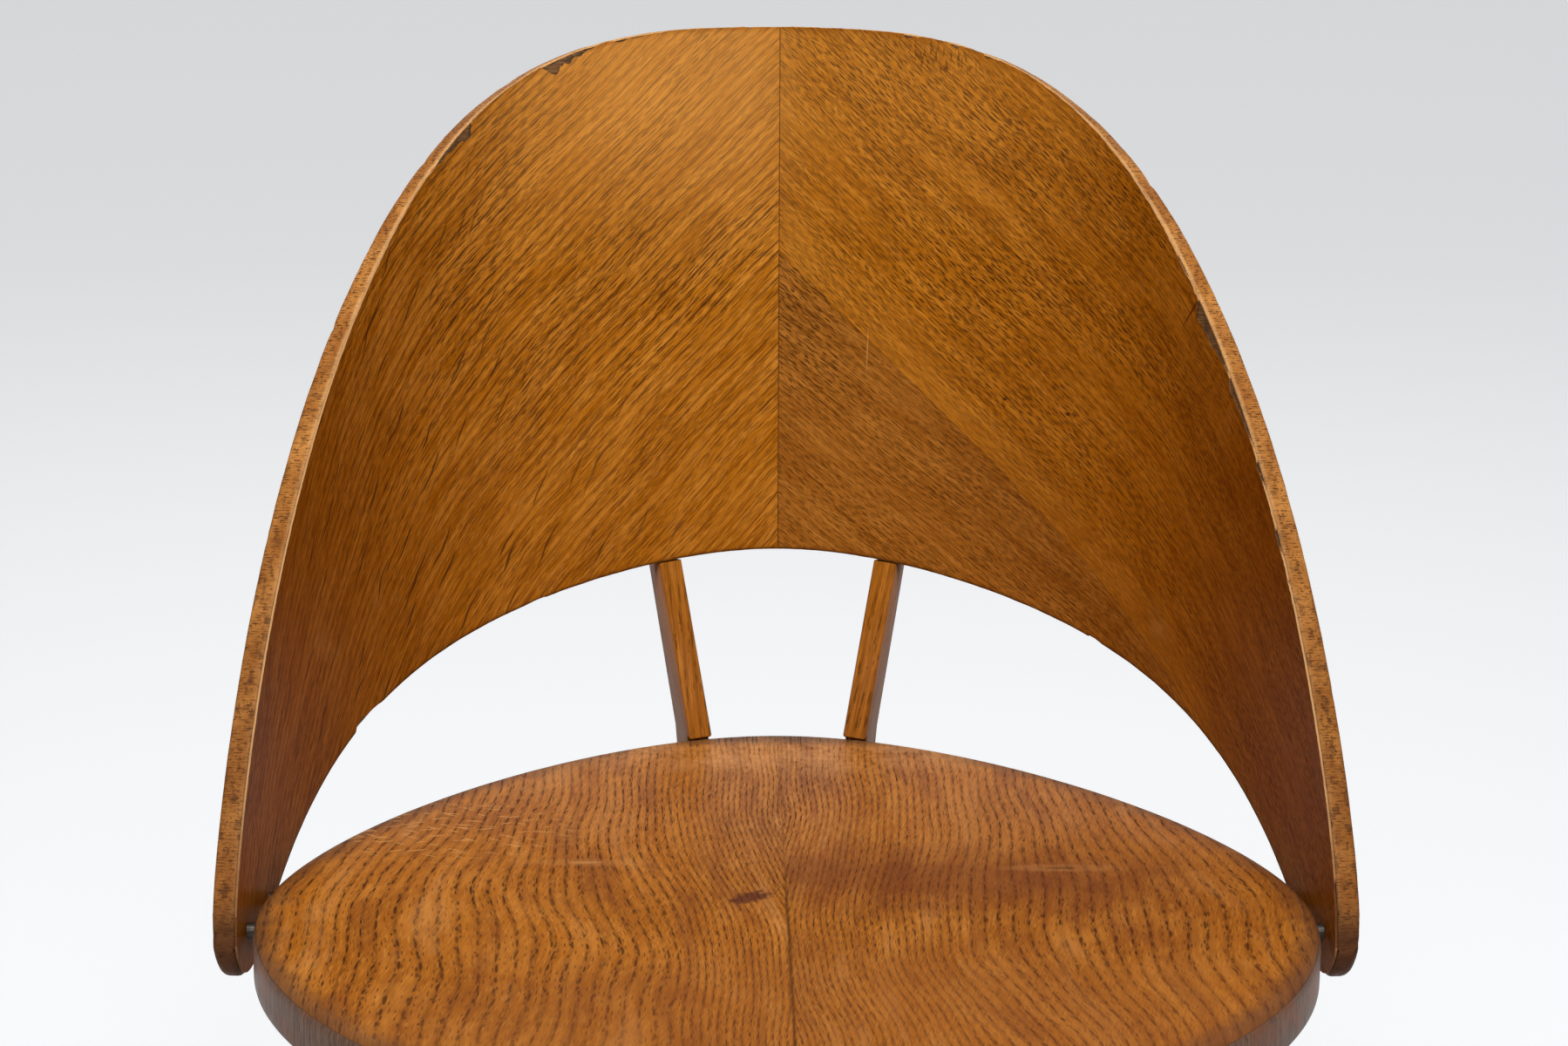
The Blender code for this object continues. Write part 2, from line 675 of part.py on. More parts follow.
def build_frame(seat):
    rails = {}
    for name, side_x, from_top in (("cross_rail_a", 1, True), ("cross_rail_b", -1, False)):
        frame = diagonal(side_x, 1)
        rail = add_part(name, rail_mesh(name, from_top), OAK_FRAME, chair, frame)
        round_edges(rail, RAIL_EDGE_ROUND, segments=1, angle=SQUARE_ANGLE)
        rails[side_x] = rail
        build_seat_screws(name[-1], frame, rail, seat)
    nut_bores = {1: [], -1: []}
    bolt_bores = {1: [], -1: []}
    for name, side_x, side_y in CORNERS:
        frame = diagonal(side_x, side_y)
        leg = add_part(f"leg_{name}", leg_mesh(f"leg_{name}"), OAK_FRAME, chair, frame)
        round_edges(leg, LEG_EDGE_ROUND)
        build_glide(name, frame, leg)
        nut, bolt = build_leg_bolt(name, frame, leg)
        nut_bores[side_x * side_y].append(nut)
        bolt_bores[side_x * side_y].append(bolt)
    for key, rail in rails.items():
        for kind, bores in (("nut", nut_bores[key]), ("bolt", bolt_bores[key])):
            cutter_name = f"{kind}_bores_{rail.name}"
            cut(rail, add_cutter(cutter_name, bores_mesh(cutter_name, bores), chair))


def build_seat_screws(letter, frame, rail, seat):
    up = Vector((0, 0, 1))
    shank, head_radius, _ = SEAT_SCREW
    length = RAIL_HEIGHT - SEAT_SCREW_RECESS + 2 * GAP + SEAT_SCREW_BITE
    bores = []
    recesses = []
    for number, side in enumerate((-1, 1), 1):
        level = seat_underside() - RAIL_HEIGHT + SEAT_SCREW_RECESS - GAP
        head = frame @ Vector((side * SEAT_SCREW_RADIUS, 0, level))
        turned(f"seat_screw_{letter}_{number}", screw_profile(SEAT_SCREW, length), STEEL, chair,
               aim(head, up))
        bores.append((head, up, shank + GAP, -GAP, length + GAP))
        recesses.append((head, up, head_radius + GAP, -BORE_REACH, GAP))
    cutter = add_cutter(f"seat_bores_{letter}", bores_mesh(f"seat_bores_{letter}", bores), chair)
    cut(rail, cutter)
    cut(seat, cutter)
    cut(rail, add_cutter(f"recesses_{letter}", bores_mesh(f"recesses_{letter}", recesses), chair))


def build_glide(name, frame, leg):
    up = Vector((0, 0, 1))
    foot = frame @ Vector((LEG_FOOT_RADIUS, 0, 0))
    pin_top = GLIDE_HEIGHT + GLIDE_PIN_LENGTH
    profile = [(0, 0), (GLIDE_RADIUS, 0), (GLIDE_RADIUS, GLIDE_HEIGHT), (GLIDE_PIN_RADIUS, GLIDE_HEIGHT),
               (GLIDE_PIN_RADIUS, pin_top), (0, pin_top)]
    turned(f"glide_{name}", profile, NYLON, chair, Matrix.Translation(foot))
    bore = [(foot, up, GLIDE_PIN_RADIUS + GAP, 0, pin_top + GAP)]
    cut(leg, add_cutter(f"pin_bore_{name}", bores_mesh(f"pin_bore_{name}", bore), chair))


def build_leg_bolt(name, frame, leg):
    """Bolt from the leg's outer face into a barrel nut. Returns the nut's and the bolt's bores."""
    level = seat_underside() - RAIL_HEIGHT / 2
    radius, half = leg_at(level)
    inward = (frame.to_3x3() @ Vector((-1, 0, 0))).normalized()
    crossways = (frame.to_3x3() @ Vector((0, 1, 0))).normalized()
    shank, head_radius, _ = LEG_BOLT
    head = frame @ Vector((radius + LEG_BOLT_HEAD_OFFSET, 0, level))
    to_nut = LEG_BOLT_HEAD_OFFSET + half + NUT_INSET
    length = to_nut + LEG_BOLT_PAST_NUT
    turned(f"leg_bolt_{name}", bolt_profile(LEG_BOLT, length), STEEL, chair, aim(head, inward))
    nut_place = head + inward * to_nut
    nut_length = RAIL_WIDTH - NUT_SHORTER
    nut_mesh = bores_mesh(f"barrel_nut_{name}", [(nut_place, crossways, NUT_RADIUS, -nut_length / 2,
                                                  nut_length / 2)])
    nut = add_part(f"barrel_nut_{name}", nut_mesh, STEEL, chair)
    bore = (head, inward, shank + GAP, -GAP, length + GAP)
    cutter = add_cutter(f"bolt_bore_{name}", bores_mesh(f"bolt_bore_{name}", [bore]), chair)
    cut(leg, cutter)
    cut(nut, cutter)
    recess = [(head, -inward, head_radius + GAP, -GAP, BORE_REACH)]
    cut(leg, add_cutter(f"bolt_recess_{name}", bores_mesh(f"bolt_recess_{name}", recess), chair))
    return (nut_place, crossways, NUT_RADIUS + GAP, -RAIL_WIDTH, RAIL_WIDTH), bore


def centre_on_floor():
    """Moves the whole chair so that its box is centred on X and Y and stands on the floor."""
    depsgraph = bpy.context.evaluated_depsgraph_get()
    corners = []
    for obj in parts.objects:
        if obj.type == "MESH":
            solid = obj.evaluated_get(depsgraph)
            corners += [solid.matrix_world @ vert.co for vert in solid.data.vertices]
    for axis in (0, 1):
        values = [corner[axis] for corner in corners]
        chair.location[axis] = -(min(values) + max(values)) / 2


clear_scene()
parts = new_collection("plywood_dining_chair")
cutters = new_collection("cutters")
chair = add_empty("chair")
back_frame = add_empty("back_frame", chair)
back_matrix = Matrix.Translation((0, BACK_PIVOT_Y, SEAT_HEIGHT)) @ Matrix.Rotation(-BACK_RECLINE, 4, "X")
back_frame.matrix_local = back_matrix
columns = back_columns()

seat_panel = build_seat()
back_panel, back_veneers = build_back()
build_tip_fixings(seat_panel, back_panel, back_veneers)
build_posts(seat_panel, back_panel)
build_frame(seat_panel)
centre_on_floor()
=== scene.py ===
"""Looks of the plywood dining chair: worn, book-matched oak on a bent back and a rounded seat.

Metres, +Z up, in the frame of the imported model. The chair faces -Y.
"""
import math
from collections import namedtuple
from functools import partialmethod

import bmesh
import bpy
import numpy as np
from mathutils import Matrix, Vector
from mathutils.geometry import interpolate_bezier
from mathutils.kdtree import KDTree


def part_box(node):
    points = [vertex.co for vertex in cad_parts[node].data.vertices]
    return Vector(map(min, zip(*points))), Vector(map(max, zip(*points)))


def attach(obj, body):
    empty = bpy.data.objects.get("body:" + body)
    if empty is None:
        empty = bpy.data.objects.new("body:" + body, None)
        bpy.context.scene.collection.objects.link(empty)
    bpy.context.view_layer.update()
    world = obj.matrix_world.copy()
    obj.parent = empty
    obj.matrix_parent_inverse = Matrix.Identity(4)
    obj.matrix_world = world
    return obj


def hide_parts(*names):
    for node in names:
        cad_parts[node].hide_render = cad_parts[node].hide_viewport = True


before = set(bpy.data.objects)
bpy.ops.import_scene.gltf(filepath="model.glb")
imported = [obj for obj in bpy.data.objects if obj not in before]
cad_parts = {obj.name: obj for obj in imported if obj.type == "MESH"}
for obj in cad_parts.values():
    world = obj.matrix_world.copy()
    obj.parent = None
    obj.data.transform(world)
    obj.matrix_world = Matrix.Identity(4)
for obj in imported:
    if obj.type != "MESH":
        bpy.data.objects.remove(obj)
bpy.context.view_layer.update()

# Fits
JOINT_GAP = 0.0001
VENEER = 0.0009
BED = VENEER + JOINT_GAP
WELD = 1e-6

# Seat outline, from its widest line
SEAT_FRONT = 0.210
SEAT_REAR = 0.2285
SEAT_HALF_WIDTH = 0.223
SEAT_REAR_PULL = 0.096
SEAT_REAR_SIDE_PULL = 0.094
SEAT_FRONT_PULL = 0.115
SEAT_FRONT_SIDE_PULL = 0.114
SEAT_ROUND = 0.0055
SEAT_BOTTOM_ROUND = 0.002
SEAT_LEDGE = 0.0011
SEAT_WAVER = 0.00008

# Back: a sheet bent to part of a superellipse in plan, leaning about a line at seat level
BACK_THICKNESS = 0.0105
BACK_RECLINE = math.radians(12.5)
BACK_PIVOT_Y = -0.022
BACK_SETBACK = 0.020
BACK_CURVE_CENTRE = -0.230
BACK_CURVE_POWER = 3.25
BACK_TOP = 0.386
BACK_TOP_PULL = 0.087
SHOULDER_RUN = 0.1775
SHOULDER_HEIGHT = 0.285
SHOULDER_SLOPE = math.radians(51.4)
SHOULDER_PULL_UP = 0.118
SHOULDER_PULL_DOWN = 0.080
ARCH_TOP = 0.141
ARCH_TOP_PULL = 0.103
ARCH_END_RUN = 0.0466
ARCH_END_HEIGHT = -0.012
ARCH_END_SLOPE = math.radians(43.7)
ARCH_END_PULL = 0.1026
ARCH_END_CORNER = 0.008
TIP_FRONT = 0.0115
TIP_GAP = 0.0067
TIP_LEVEL = -0.003
TIP_LEVEL_PULL = 0.056
TIP_BOTTOM = -0.0235
TIP_BOTTOM_RUN = 0.020
TIP_CORNER = 0.011
EDGE_SHARE = 0.985
SEAM_HEIGHT = 0.280
SEAM_SLOPE = math.radians(44)

# Worn edges
TIP_SOFTNESS = 1.5
TIP_SOFT_FROM, TIP_SOFT_TO = 0.002, 0.020
FRONT_ROUND = 0.0009
REAR_ROUND = 0.0016
RIM_DENT = 0.00018
RIM_NICKS = 26
TOP_INSET = 0.0003
TOP_RAGGED = 0.0002
TOP_RAGGED_RIGHT = 0.0003
LOW_INSET = 0.0002
LOW_WAVER = 0.00008
REAR_SPLINTER = 0.0011
VENEER_BEVEL = 0.0001
BEVEL_ANGLE = math.radians(50)
SHARP_ANGLE = math.radians(40)
SOLID_SHARP_ANGLE = math.radians(30)

# Chips of the back's face veneer: from and to on the sheet, depth, and 1 where the steep end comes first
UPPER_CHIPS = ((-0.113, -0.083, 0.0052, 1), (-0.175, -0.148, 0.0042, -1), (-0.080, -0.052, 0.0014, 1),
               (0.218, 0.243, 0.0068, 1), (0.2435, 0.267, 0.0032, 1), (0.270, 0.280, 0.0020, 1),
               (0.058, 0.066, 0.0018, 1), (0.078, 0.084, 0.0026, -1), (0.096, 0.104, 0.0018, 1),
               (0.196, 0.210, 0.0008, -1), (0.290, 0.300, 0.0014, 1), (0.372, 0.380, 0.0016, 1),
               (0.386, 0.392, 0.0022, -1), (0.394, 0.402, 0.0020, 1))
LOWER_CHIPS = ((-0.226, -0.204, 0.0030, 1), (0.150, 0.158, 0.0010, 1), (-0.120, -0.110, 0.0008, -1))
CHIP_STEEP_SHARE = 0.14

# Fineness
HALF_COLUMNS = 440
CORE_HALF_COLUMNS = 200
VENEER_ROWS = 44
CORE_ROWS = 26
SEAT_STEPS = 150
SEAT_ROWS = 40
SEAT_DENSE_STEPS = 1200
PLAN_STEPS = 3000
ROUND_STEPS = 5
BEZIER_STEPS = 200

# Grain: its direction and ring size
BACK_GRAIN = math.radians(43)
LOWER_LEAF_GRAIN = math.radians(38)
LEFT_GRAIN_TURN = 0.8
LEFT_GRAIN_TURN_LEVEL = 0.28
LEFT_GRAIN_TURN_RATE = 30.0
BACK_RING = 0.0043
SOLID_RING = 0.0034
SEAT_RING = 0.0022
SEAT_RING_GROWTH = 0.0215

# Rows of one seat leaf: knot, inward bend, where that happens ahead, and the bend at the front
Flow = namedtuple("Flow", "knot inward bend_from bend_to onward")
SEAT_FLOW = {-1: Flow(0.091, 0.0225, -0.07, 0.10, 0.004), 1: Flow(0.117, 0.0120, -0.075, 0.06, 0.020)}

# Camera, from the photograph's perspective
PHOTO_WIDTH = 1799
FOCAL_PIXELS = 4770
SENSOR = 36.0
CAMERA_PLACE = (-0.0420, -1.6770, 1.1018)
CAMERA_YAW = math.radians(1.3703)
CAMERA_PITCH = math.radians(16.4721)
CAMERA_ROLL = math.radians(0.5670)

# Stage and light. A lamp has its place, its size and its watts
WORLD_LIGHT = 0.20
BACKDROP = 0.40
WHITE = (1.0, 1.0, 1.0, 1.0)
FLOOR_HALF_SIZE = 14.0
FLOOR_COLOUR = (0.62, 0.63, 0.64, 1.0)
FLOOR_ROUGHNESS = 0.55
FLOOR_GLOW = (0.97, 0.98, 1.0, 1.0)
FLOOR_GLOW_LEVEL = 0.46
LAMP_TARGET = (0.0, 0.0, 0.6)
LAMPS = {"key": ((0.0, -1.7, 2.8), (1.8, 1.4), 84),
         "left fill": ((-1.9, -1.3, 1.7), (1.2, 1.2), 6),
         "right fill": ((1.9, -1.3, 1.7), (1.2, 1.2), 6),
         "rear fill": ((0.0, 2.0, 1.9), (1.8, 1.4), 11)}

seat_low, seat_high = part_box("seat_panel")
SEAT_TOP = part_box("seat_veneer_left")[1].z
SEAT_BOTTOM = seat_low.z
SEAT_WIDEST_Y = seat_low.y + SEAT_FRONT
SEAT_REAR_Y = seat_high.y


def srgb(red, green, blue):
    """Linear colour from screen values of 0 to 255."""
    channels = [value / 255 for value in (red, green, blue)]
    return (*(c / 12.92 if c <= 0.04045 else ((c + 0.055) / 1.055) ** 2.4 for c in channels), 1.0)


# Colours
OAK_LIGHT = srgb(208, 138, 50)
OAK_MID = srgb(168, 100, 12)
OAK_DEEP = srgb(122, 64, 4)
OAK_RED = srgb(140, 74, 30)
OAK_SIDE = srgb(112, 50, 1)
# Painted shade, multiplied over the back's far sides
SIDE_SHADE = srgb(182, 146, 94)
# Painted highlight at the top of the back
BACK_TOP_SHEEN = srgb(226, 160, 84)
PORE = srgb(56, 28, 10)
FLECK = srgb(210, 152, 84)
BARE = srgb(90, 60, 34)
BARE_LIGHT = srgb(124, 88, 54)
BARE_DARK = srgb(66, 46, 30)
RIM_LIGHT = srgb(204, 138, 70)
RIM_MID = srgb(162, 99, 42)
RIM_DARK = srgb(70, 38, 22)
RIM_LOW = srgb(98, 55, 20)
ARRIS = srgb(216, 166, 110)
# Painted grey sheen on the sides of the solid pieces
TIP_STAIN = srgb(68, 40, 26)
SOLID_SIDE_SHEEN = srgb(160, 126, 108)
# Pale seat tone, also used for the painted sheen at the seat's rear
SEAT_PATCH = srgb(106, 50, 22)
SEAT_DULL = srgb(130, 74, 36)
SEAT_PALE = srgb(214, 150, 88)
SEAT_HAIR = srgb(222, 148, 58)
SEAT_STAIN = srgb(72, 28, 22)
SEAT_SIDE = srgb(78, 54, 41)
SEAT_SIDE_LIGHT = srgb(116, 86, 67)
STEEL, STEEL_DARK = srgb(96, 92, 86), srgb(62, 57, 51)
BRASS, BRASS_DARK = srgb(176, 140, 78), srgb(110, 82, 44)
NYLON, NYLON_LIGHT = srgb(58, 54, 50), srgb(88, 82, 76)

# Light, middle and deep tone of each oak
LEFT_OAK = (OAK_LIGHT, OAK_MID, OAK_DEEP)
RIGHT_OAK = (srgb(194, 124, 36), srgb(158, 92, 8), srgb(114, 58, 2))
LOWER_OAK = (srgb(184, 120, 46), srgb(150, 90, 26), srgb(108, 58, 10))
SEAT_OAK = (srgb(206, 134, 56), srgb(174, 102, 28), srgb(120, 62, 10))
UNDER_OAK = (RIM_LIGHT, RIM_MID, OAK_MID)
SOLID_OAK = (srgb(186, 116, 44), srgb(152, 88, 20), srgb(106, 58, 8))

# Kinds of oak. A layer of pores has rows per ring, length, half width in rings, density, depth and scatter
Pores = namedtuple("Pores", "rate length width density depth scatter", defaults=(0.45,))
Grain = namedtuple("Grain", "ring band line line_width wobble fleck fleck_share strand shine thinnest layers")
LEFT_MARKS = Grain(
    ring=BACK_RING, band=0.26, line=0.36, line_width=0.0007, wobble=0.24, fleck=0.0050, fleck_share=0.30,
    strand=1.0, shine=0.02, thinnest=0.00008,
    layers=(Pores(1.0, 0.030, 0.046, 0.86, 0.88, 0.20), Pores(2.5, 0.0105, 0.042, 0.72, 0.86),
            Pores(5.3, 0.0066, 0.030, 0.58, 0.60)))
RIGHT_MARKS = LEFT_MARKS._replace(
    band=0.16, line=0.16, fleck_share=0.20, strand=1.25,
    layers=(Pores(2.3, 0.0080, 0.050, 0.82, 0.96), Pores(4.1, 0.0056, 0.038, 0.66, 0.80),
            Pores(6.1, 0.0046, 0.024, 0.56, 0.56)))
LOWER_MARKS = RIGHT_MARKS._replace(
    fleck_share=0.12,
    layers=(Pores(2.1, 0.0072, 0.050, 0.82, 0.96, 0.50), Pores(3.7, 0.0054, 0.038, 0.68, 0.82, 0.50),
            Pores(5.7, 0.0042, 0.026, 0.58, 0.60)))
SEAT_MARKS = Grain(
    ring=SEAT_RING, band=0.22, line=0.30, line_width=0.0011, wobble=0.26, fleck=0.010, fleck_share=0.28,
    strand=0.45, shine=0.035, thinnest=0.00016,
    layers=(Pores(1.0, 0.0120, 0.058, 0.84, 0.90, 0.18), Pores(1.0, 0.0062, 0.040, 0.46, 0.80, 0.36),
            Pores(2.9, 0.0075, 0.014, 0.54, 0.66)))
UNDER_MARKS = SEAT_MARKS._replace(layers=(Pores(1.0, 0.012, 0.10, 0.40, 0.5, 0.40),))
SOLID_MARKS = Grain(
    ring=SOLID_RING, band=0.30, line=0.15, line_width=0.0007, wobble=0.35, fleck=0.006, fleck_share=0.10,
    strand=0.8, shine=0.03, thinnest=0.00008,
    layers=(Pores(1.0, 0.012, 0.09, 0.42, 0.60, 0.40), Pores(2.4, 0.007, 0.06, 0.34, 0.48)))
FLECK_ROWS = 3.1
FLECK_HALF_WIDTH = 0.00028
FLECK_DENSITY = 0.18
LINE_CORE = 0.0001
PORE_DEPTH = 0.0005

# Rows of short marks: distance between rows, length, half width, density and scatter
Rows = namedtuple("Rows", "pitch length width density scatter", defaults=(0.45,))
STREAKS = Rows(0.010, 0.036, 0.0006, 0.46, 0.9)
SPLITS = Rows(0.0026, 0.050, 0.0005, 0.78, 0.6)
SCRATCHES = Rows(0.0060, 0.012, 0.0008, 0.30, 0.8)
SCRATCH_SLOPES = (0.16, -0.30, 0.55)
RIM_MARKS = Rows(0.0013, 0.0046, 0.00034, 0.68)
RIM_FINE_MARKS = Rows(0.0009, 0.0018, 0.00025, 0.48)
SEAT_SIDE_MARKS = Rows(0.0019, 0.0065, 0.0004, 0.42)

# Single marks, on the back's sheet and on the seat: centre, half size and turn in degrees
Spot = namedtuple("Spot", "centre size turn", defaults=(0.0,))
BACK_SWIRL = Spot((0.150, 0.125), (0.085, 0.050), -40)
BACK_SCRATCH = Spot((0.0417, 0.2355), (0.0120, 0.0004), 88)
BACK_CRACK = Spot((0.2135, 0.2560), (0.0110, 0.0006), 48)
BACK_GRIME = Spot((0.0735, 0.3725), (0.026, 0.008), -16)
BACK_DOTS = [Spot(centre, (0.0012, 0.0009)) for centre in ((0.1068, 0.2125), (0.1383, 0.2063))]
SEAT_BLOT = Spot((-0.0157, -0.0328), (0.0110, 0.0058), 38)
SEAT_PATCHES = ((Spot((0.060, -0.010), (0.120, 0.046), -3), 0.36),
                (Spot((0.060, -0.010), (0.084, 0.022), -3), 0.38))
SEAT_DULL_FRONT = Spot((0.010, -0.185), (0.200, 0.110))
# Painted sheen at the seat's rear
SEAT_REAR_SHEEN = Spot((0.000, 0.150), (0.115, 0.034))
SEAT_SCRATCHED = Spot((-0.148, 0.045), (0.062, 0.040), 8)
SEAT_KNOTS = (((-0.0860, 0.0080), FLECK), ((0.1200, 0.0020), PORE))
KNOT_HALO = (0.030, 0.005)
KNOT_SLIT = (0.0075, 0.0016)


# Node helpers

class Value:
    """A socket of a node tree. Arithmetic on it adds Math nodes."""

    def __init__(self, tree, socket):
        self.tree = tree
        self.socket = socket

    def math(self, operation, *others):
        node = self.tree.nodes.new("ShaderNodeMath")
        node.operation = operation
        for socket, value in zip(node.inputs, (self, *others)):
            feed(self.tree, socket, value)
        return Value(self.tree, node.outputs[0])

    __add__ = partialmethod(math, "ADD")
    __sub__ = partialmethod(math, "SUBTRACT")
    __rsub__ = partialmethod(math, "MULTIPLY_ADD", -1.0)
    __mul__ = partialmethod(math, "MULTIPLY")
    __truediv__ = partialmethod(math, "DIVIDE")
    __abs__ = partialmethod(math, "ABSOLUTE")
    floor = partialmethod(math, "FLOOR")
    largest = partialmethod(math, "MAXIMUM")

    def step(self, low, high):
        """Smooth 0 to 1 as the value goes from low to high, whichever is larger."""
        node = self.tree.nodes.new("ShaderNodeMapRange")
        node.interpolation_type = "SMOOTHSTEP"
        limits = (high, low, 1.0, 0.0) if low > high else (low, high, 0.0, 1.0)
        for socket, value in zip(node.inputs, (self, *limits)):
            feed(self.tree, socket, value)
        return Value(self.tree, node.outputs[0])


def feed(tree, socket, value):
    if isinstance(value, Value):
        tree.links.new(value.socket, socket)
    else:
        socket.default_value = value


class Finish:
    """One material under construction, with its colour so far."""

    def __init__(self, name):
        self.material = bpy.data.materials.new(name)
        self.material.use_nodes = True
        self.tree = self.material.node_tree
        self.shader = self.tree.nodes["Principled BSDF"]
        self.colour = None

    def set(self, node, **inputs):
        """Feeds inputs of a node, named with underscores for spaces."""
        for key, value in inputs.items():
            feed(self.tree, node.inputs[key.replace("_", " ")], value)

    def node(self, kind, output=0, settings=None, **inputs):
        node = self.tree.nodes.new(kind)
        for key, value in (settings or {}).items():
            setattr(node, key, value)
        self.set(node, **inputs)
        return Value(self.tree, node.outputs[output])

    def split(self, vector):
        node = self.tree.nodes.new("ShaderNodeSeparateXYZ")
        feed(self.tree, node.inputs[0], vector)
        return [Value(self.tree, output) for output in node.outputs]

    def attribute(self, name):
        """The three numbers of a mesh attribute."""
        return self.split(self.node("ShaderNodeAttribute", "Vector", {"attribute_name": name}))

    def number(self, name):
        """A mesh attribute of one number."""
        return self.node("ShaderNodeAttribute", "Fac", {"attribute_name": name})

    def vector(self, x, y, z=0.0):
        return self.node("ShaderNodeCombineXYZ", X=x, Y=y, Z=z)

    def noise(self, x, y, z=0.0, detail=2.0, roughness=0.5):
        """Noise over three coordinates, with features about one unit wide."""
        return self.noise_over(self.vector(x, y, z), 1.0, detail, roughness)

    def speckle(self, scale, detail):
        """Noise in the object's own space."""
        return self.noise_over(self.node("ShaderNodeTexCoord", "Object"), scale, detail, 0.5)

    def noise_over(self, vector, scale, detail, roughness):
        return self.node("ShaderNodeTexNoise", "Fac", Vector=vector, Scale=scale, Detail=detail,
                         Roughness=roughness)

    def chances(self, x, y, seed):
        """Three random numbers for a cell."""
        return self.split(self.node("ShaderNodeTexWhiteNoise", "Color",
                                    {"noise_dimensions": "3D"}, Vector=self.vector(x, y, seed)))

    def mix(self, share, first, second, blend="MIX"):
        node = self.tree.nodes.new("ShaderNodeMix")
        node.data_type = "RGBA"
        node.blend_type = blend
        for index, value in ((0, share), (6, first), (7, second)):
            feed(self.tree, node.inputs[index], value)
        return Value(self.tree, node.outputs[2])

    def paint(self, share, colour, blend="MIX"):
        """Lays a share of a colour over the colour so far."""
        self.colour = self.mix(share, self.colour, colour, blend)

    def close(self, roughness, height, depth, strength=0.6, shine=0.13):
        """Joins the finished colour, gloss and relief to the shader."""
        bump = self.node("ShaderNodeBump", Strength=strength, Distance=depth, Height=height)
        self.set(self.shader, Base_Color=self.colour, Roughness=roughness, Normal=bump,
                 Specular_IOR_Level=shine)
        return self.material


def dashes(finish, along, ring, rows, seed):
    """Mask of short marks in rows, broken at random along the grain. Rows lie one apart in ring."""
    row = ring.floor()
    start = finish.chances(row, seed, 0.5)[0]
    cell = along / rows.length + start * 37.0
    index = cell.floor()
    present, size, shift = finish.chances(index, row, seed)
    across = (ring - row - 0.5 + (shift - 0.5) * rows.scatter) * (rows.pitch / rows.width)
    run = (cell - index - 0.5) / (size * 0.30 + 0.20)
    there = present.step(rows.density + 0.06, rows.density - 0.06)
    return (across * across + run * run).step(1.1, 0.3) * there


def spot(x, y, place, ragged):
    """Mask of a soft-edged ellipse on a flat surface."""
    turn = math.radians(place.turn)
    dx = x - place.centre[0]
    dy = y - place.centre[1]
    along = (dx * math.cos(turn) + dy * math.sin(turn)) / place.size[0]
    across = (dy * math.cos(turn) - dx * math.sin(turn)) / place.size[1]
    far = (along * along + across * across).math("SQRT")
    return (far + ragged * 0.9).step(1.15, 0.55)


# Oak finishes

def oak_face(name, tones, grain, gloss=0.42, places=None):
    """Open-pored oak on the mesh's own grain attribute: metres along, rings across, ring size."""
    light, mid, deep = tones
    finish = Finish(name)
    paint, noise = finish.paint, finish.noise
    along, ring, pitch = finish.attribute("grain")
    strength = finish.number("strength")
    wobble = noise(along * 28.0, ring * 0.22) - 0.5
    bent = ring + wobble * grain.wobble
    off_line = abs(bent - bent.floor() - 0.5)
    across = ring * grain.ring
    cloud = noise(along * 7.0, across * 18.0, detail=3.0)
    tone = noise(along * 22.0, across * 130.0, 3.7, detail=3.0)
    fibre = noise(along * 60.0, across * 1900.0, detail=3.0, roughness=0.65)
    strand = noise(along * 42.0, across * 820.0, 5.5, detail=3.0, roughness=0.6)
    wane = noise(along * 40.0, ring, 6.3, detail=1.0).step(0.24, 0.50)
    grime = noise(along * 12.0, across * 34.0, 8.1).step(0.32, 0.62)

    finish.colour = finish.mix(cloud.step(0.34, 0.60) * 0.35 + 0.65, deep, mid)
    paint(tone.step(0.40, 0.68) * 0.45, light)
    paint(strand.step(0.50, 0.68) * grain.strand * 0.45, light)
    paint(strand.step(0.48, 0.30) * grain.strand * 0.55, deep)
    paint(fibre.step(0.47, 0.68) * grain.strand * 0.48, light)
    paint(fibre.step(0.50, 0.28) * grain.strand * 0.66, deep)
    paint(off_line.step(0.42, 0.08) * grain.band, deep)
    line = (off_line * pitch).step(grain.line_width, LINE_CORE) * wane * strength
    paint(line * grain.line, PORE)
    rows = Rows(pitch / FLECK_ROWS, grain.fleck, FLECK_HALF_WIDTH, FLECK_DENSITY)
    flecks = dashes(finish, along, bent * FLECK_ROWS + 0.11, rows, 9.0)
    paint(flecks * grain.fleck_share, FLECK)

    pores = None
    for number, layer in enumerate(grain.layers):
        shift = 0.0 if layer.rate == 1.0 else 0.37 * number
        half = pitch * layer.width + grain.thinnest
        rows = Rows(pitch / layer.rate, layer.length, half, layer.density, layer.scatter)
        marks = dashes(finish, along, bent * layer.rate + shift, rows, 1.0 + 4 * number)
        pores = pores.largest(marks * layer.depth) if pores else marks * layer.depth
    pores = pores * (grime * 0.45 + 0.55) * (strength * 0.25 + 0.75)
    paint(pores, PORE)
    if places:
        pores = places(finish, pores)
    roughness = pores * 0.25 + cloud * 0.12 + (gloss - 0.06)
    return finish.close(roughness, fibre * 0.25 - pores, PORE_DEPTH, strength=0.5, shine=grain.shine)


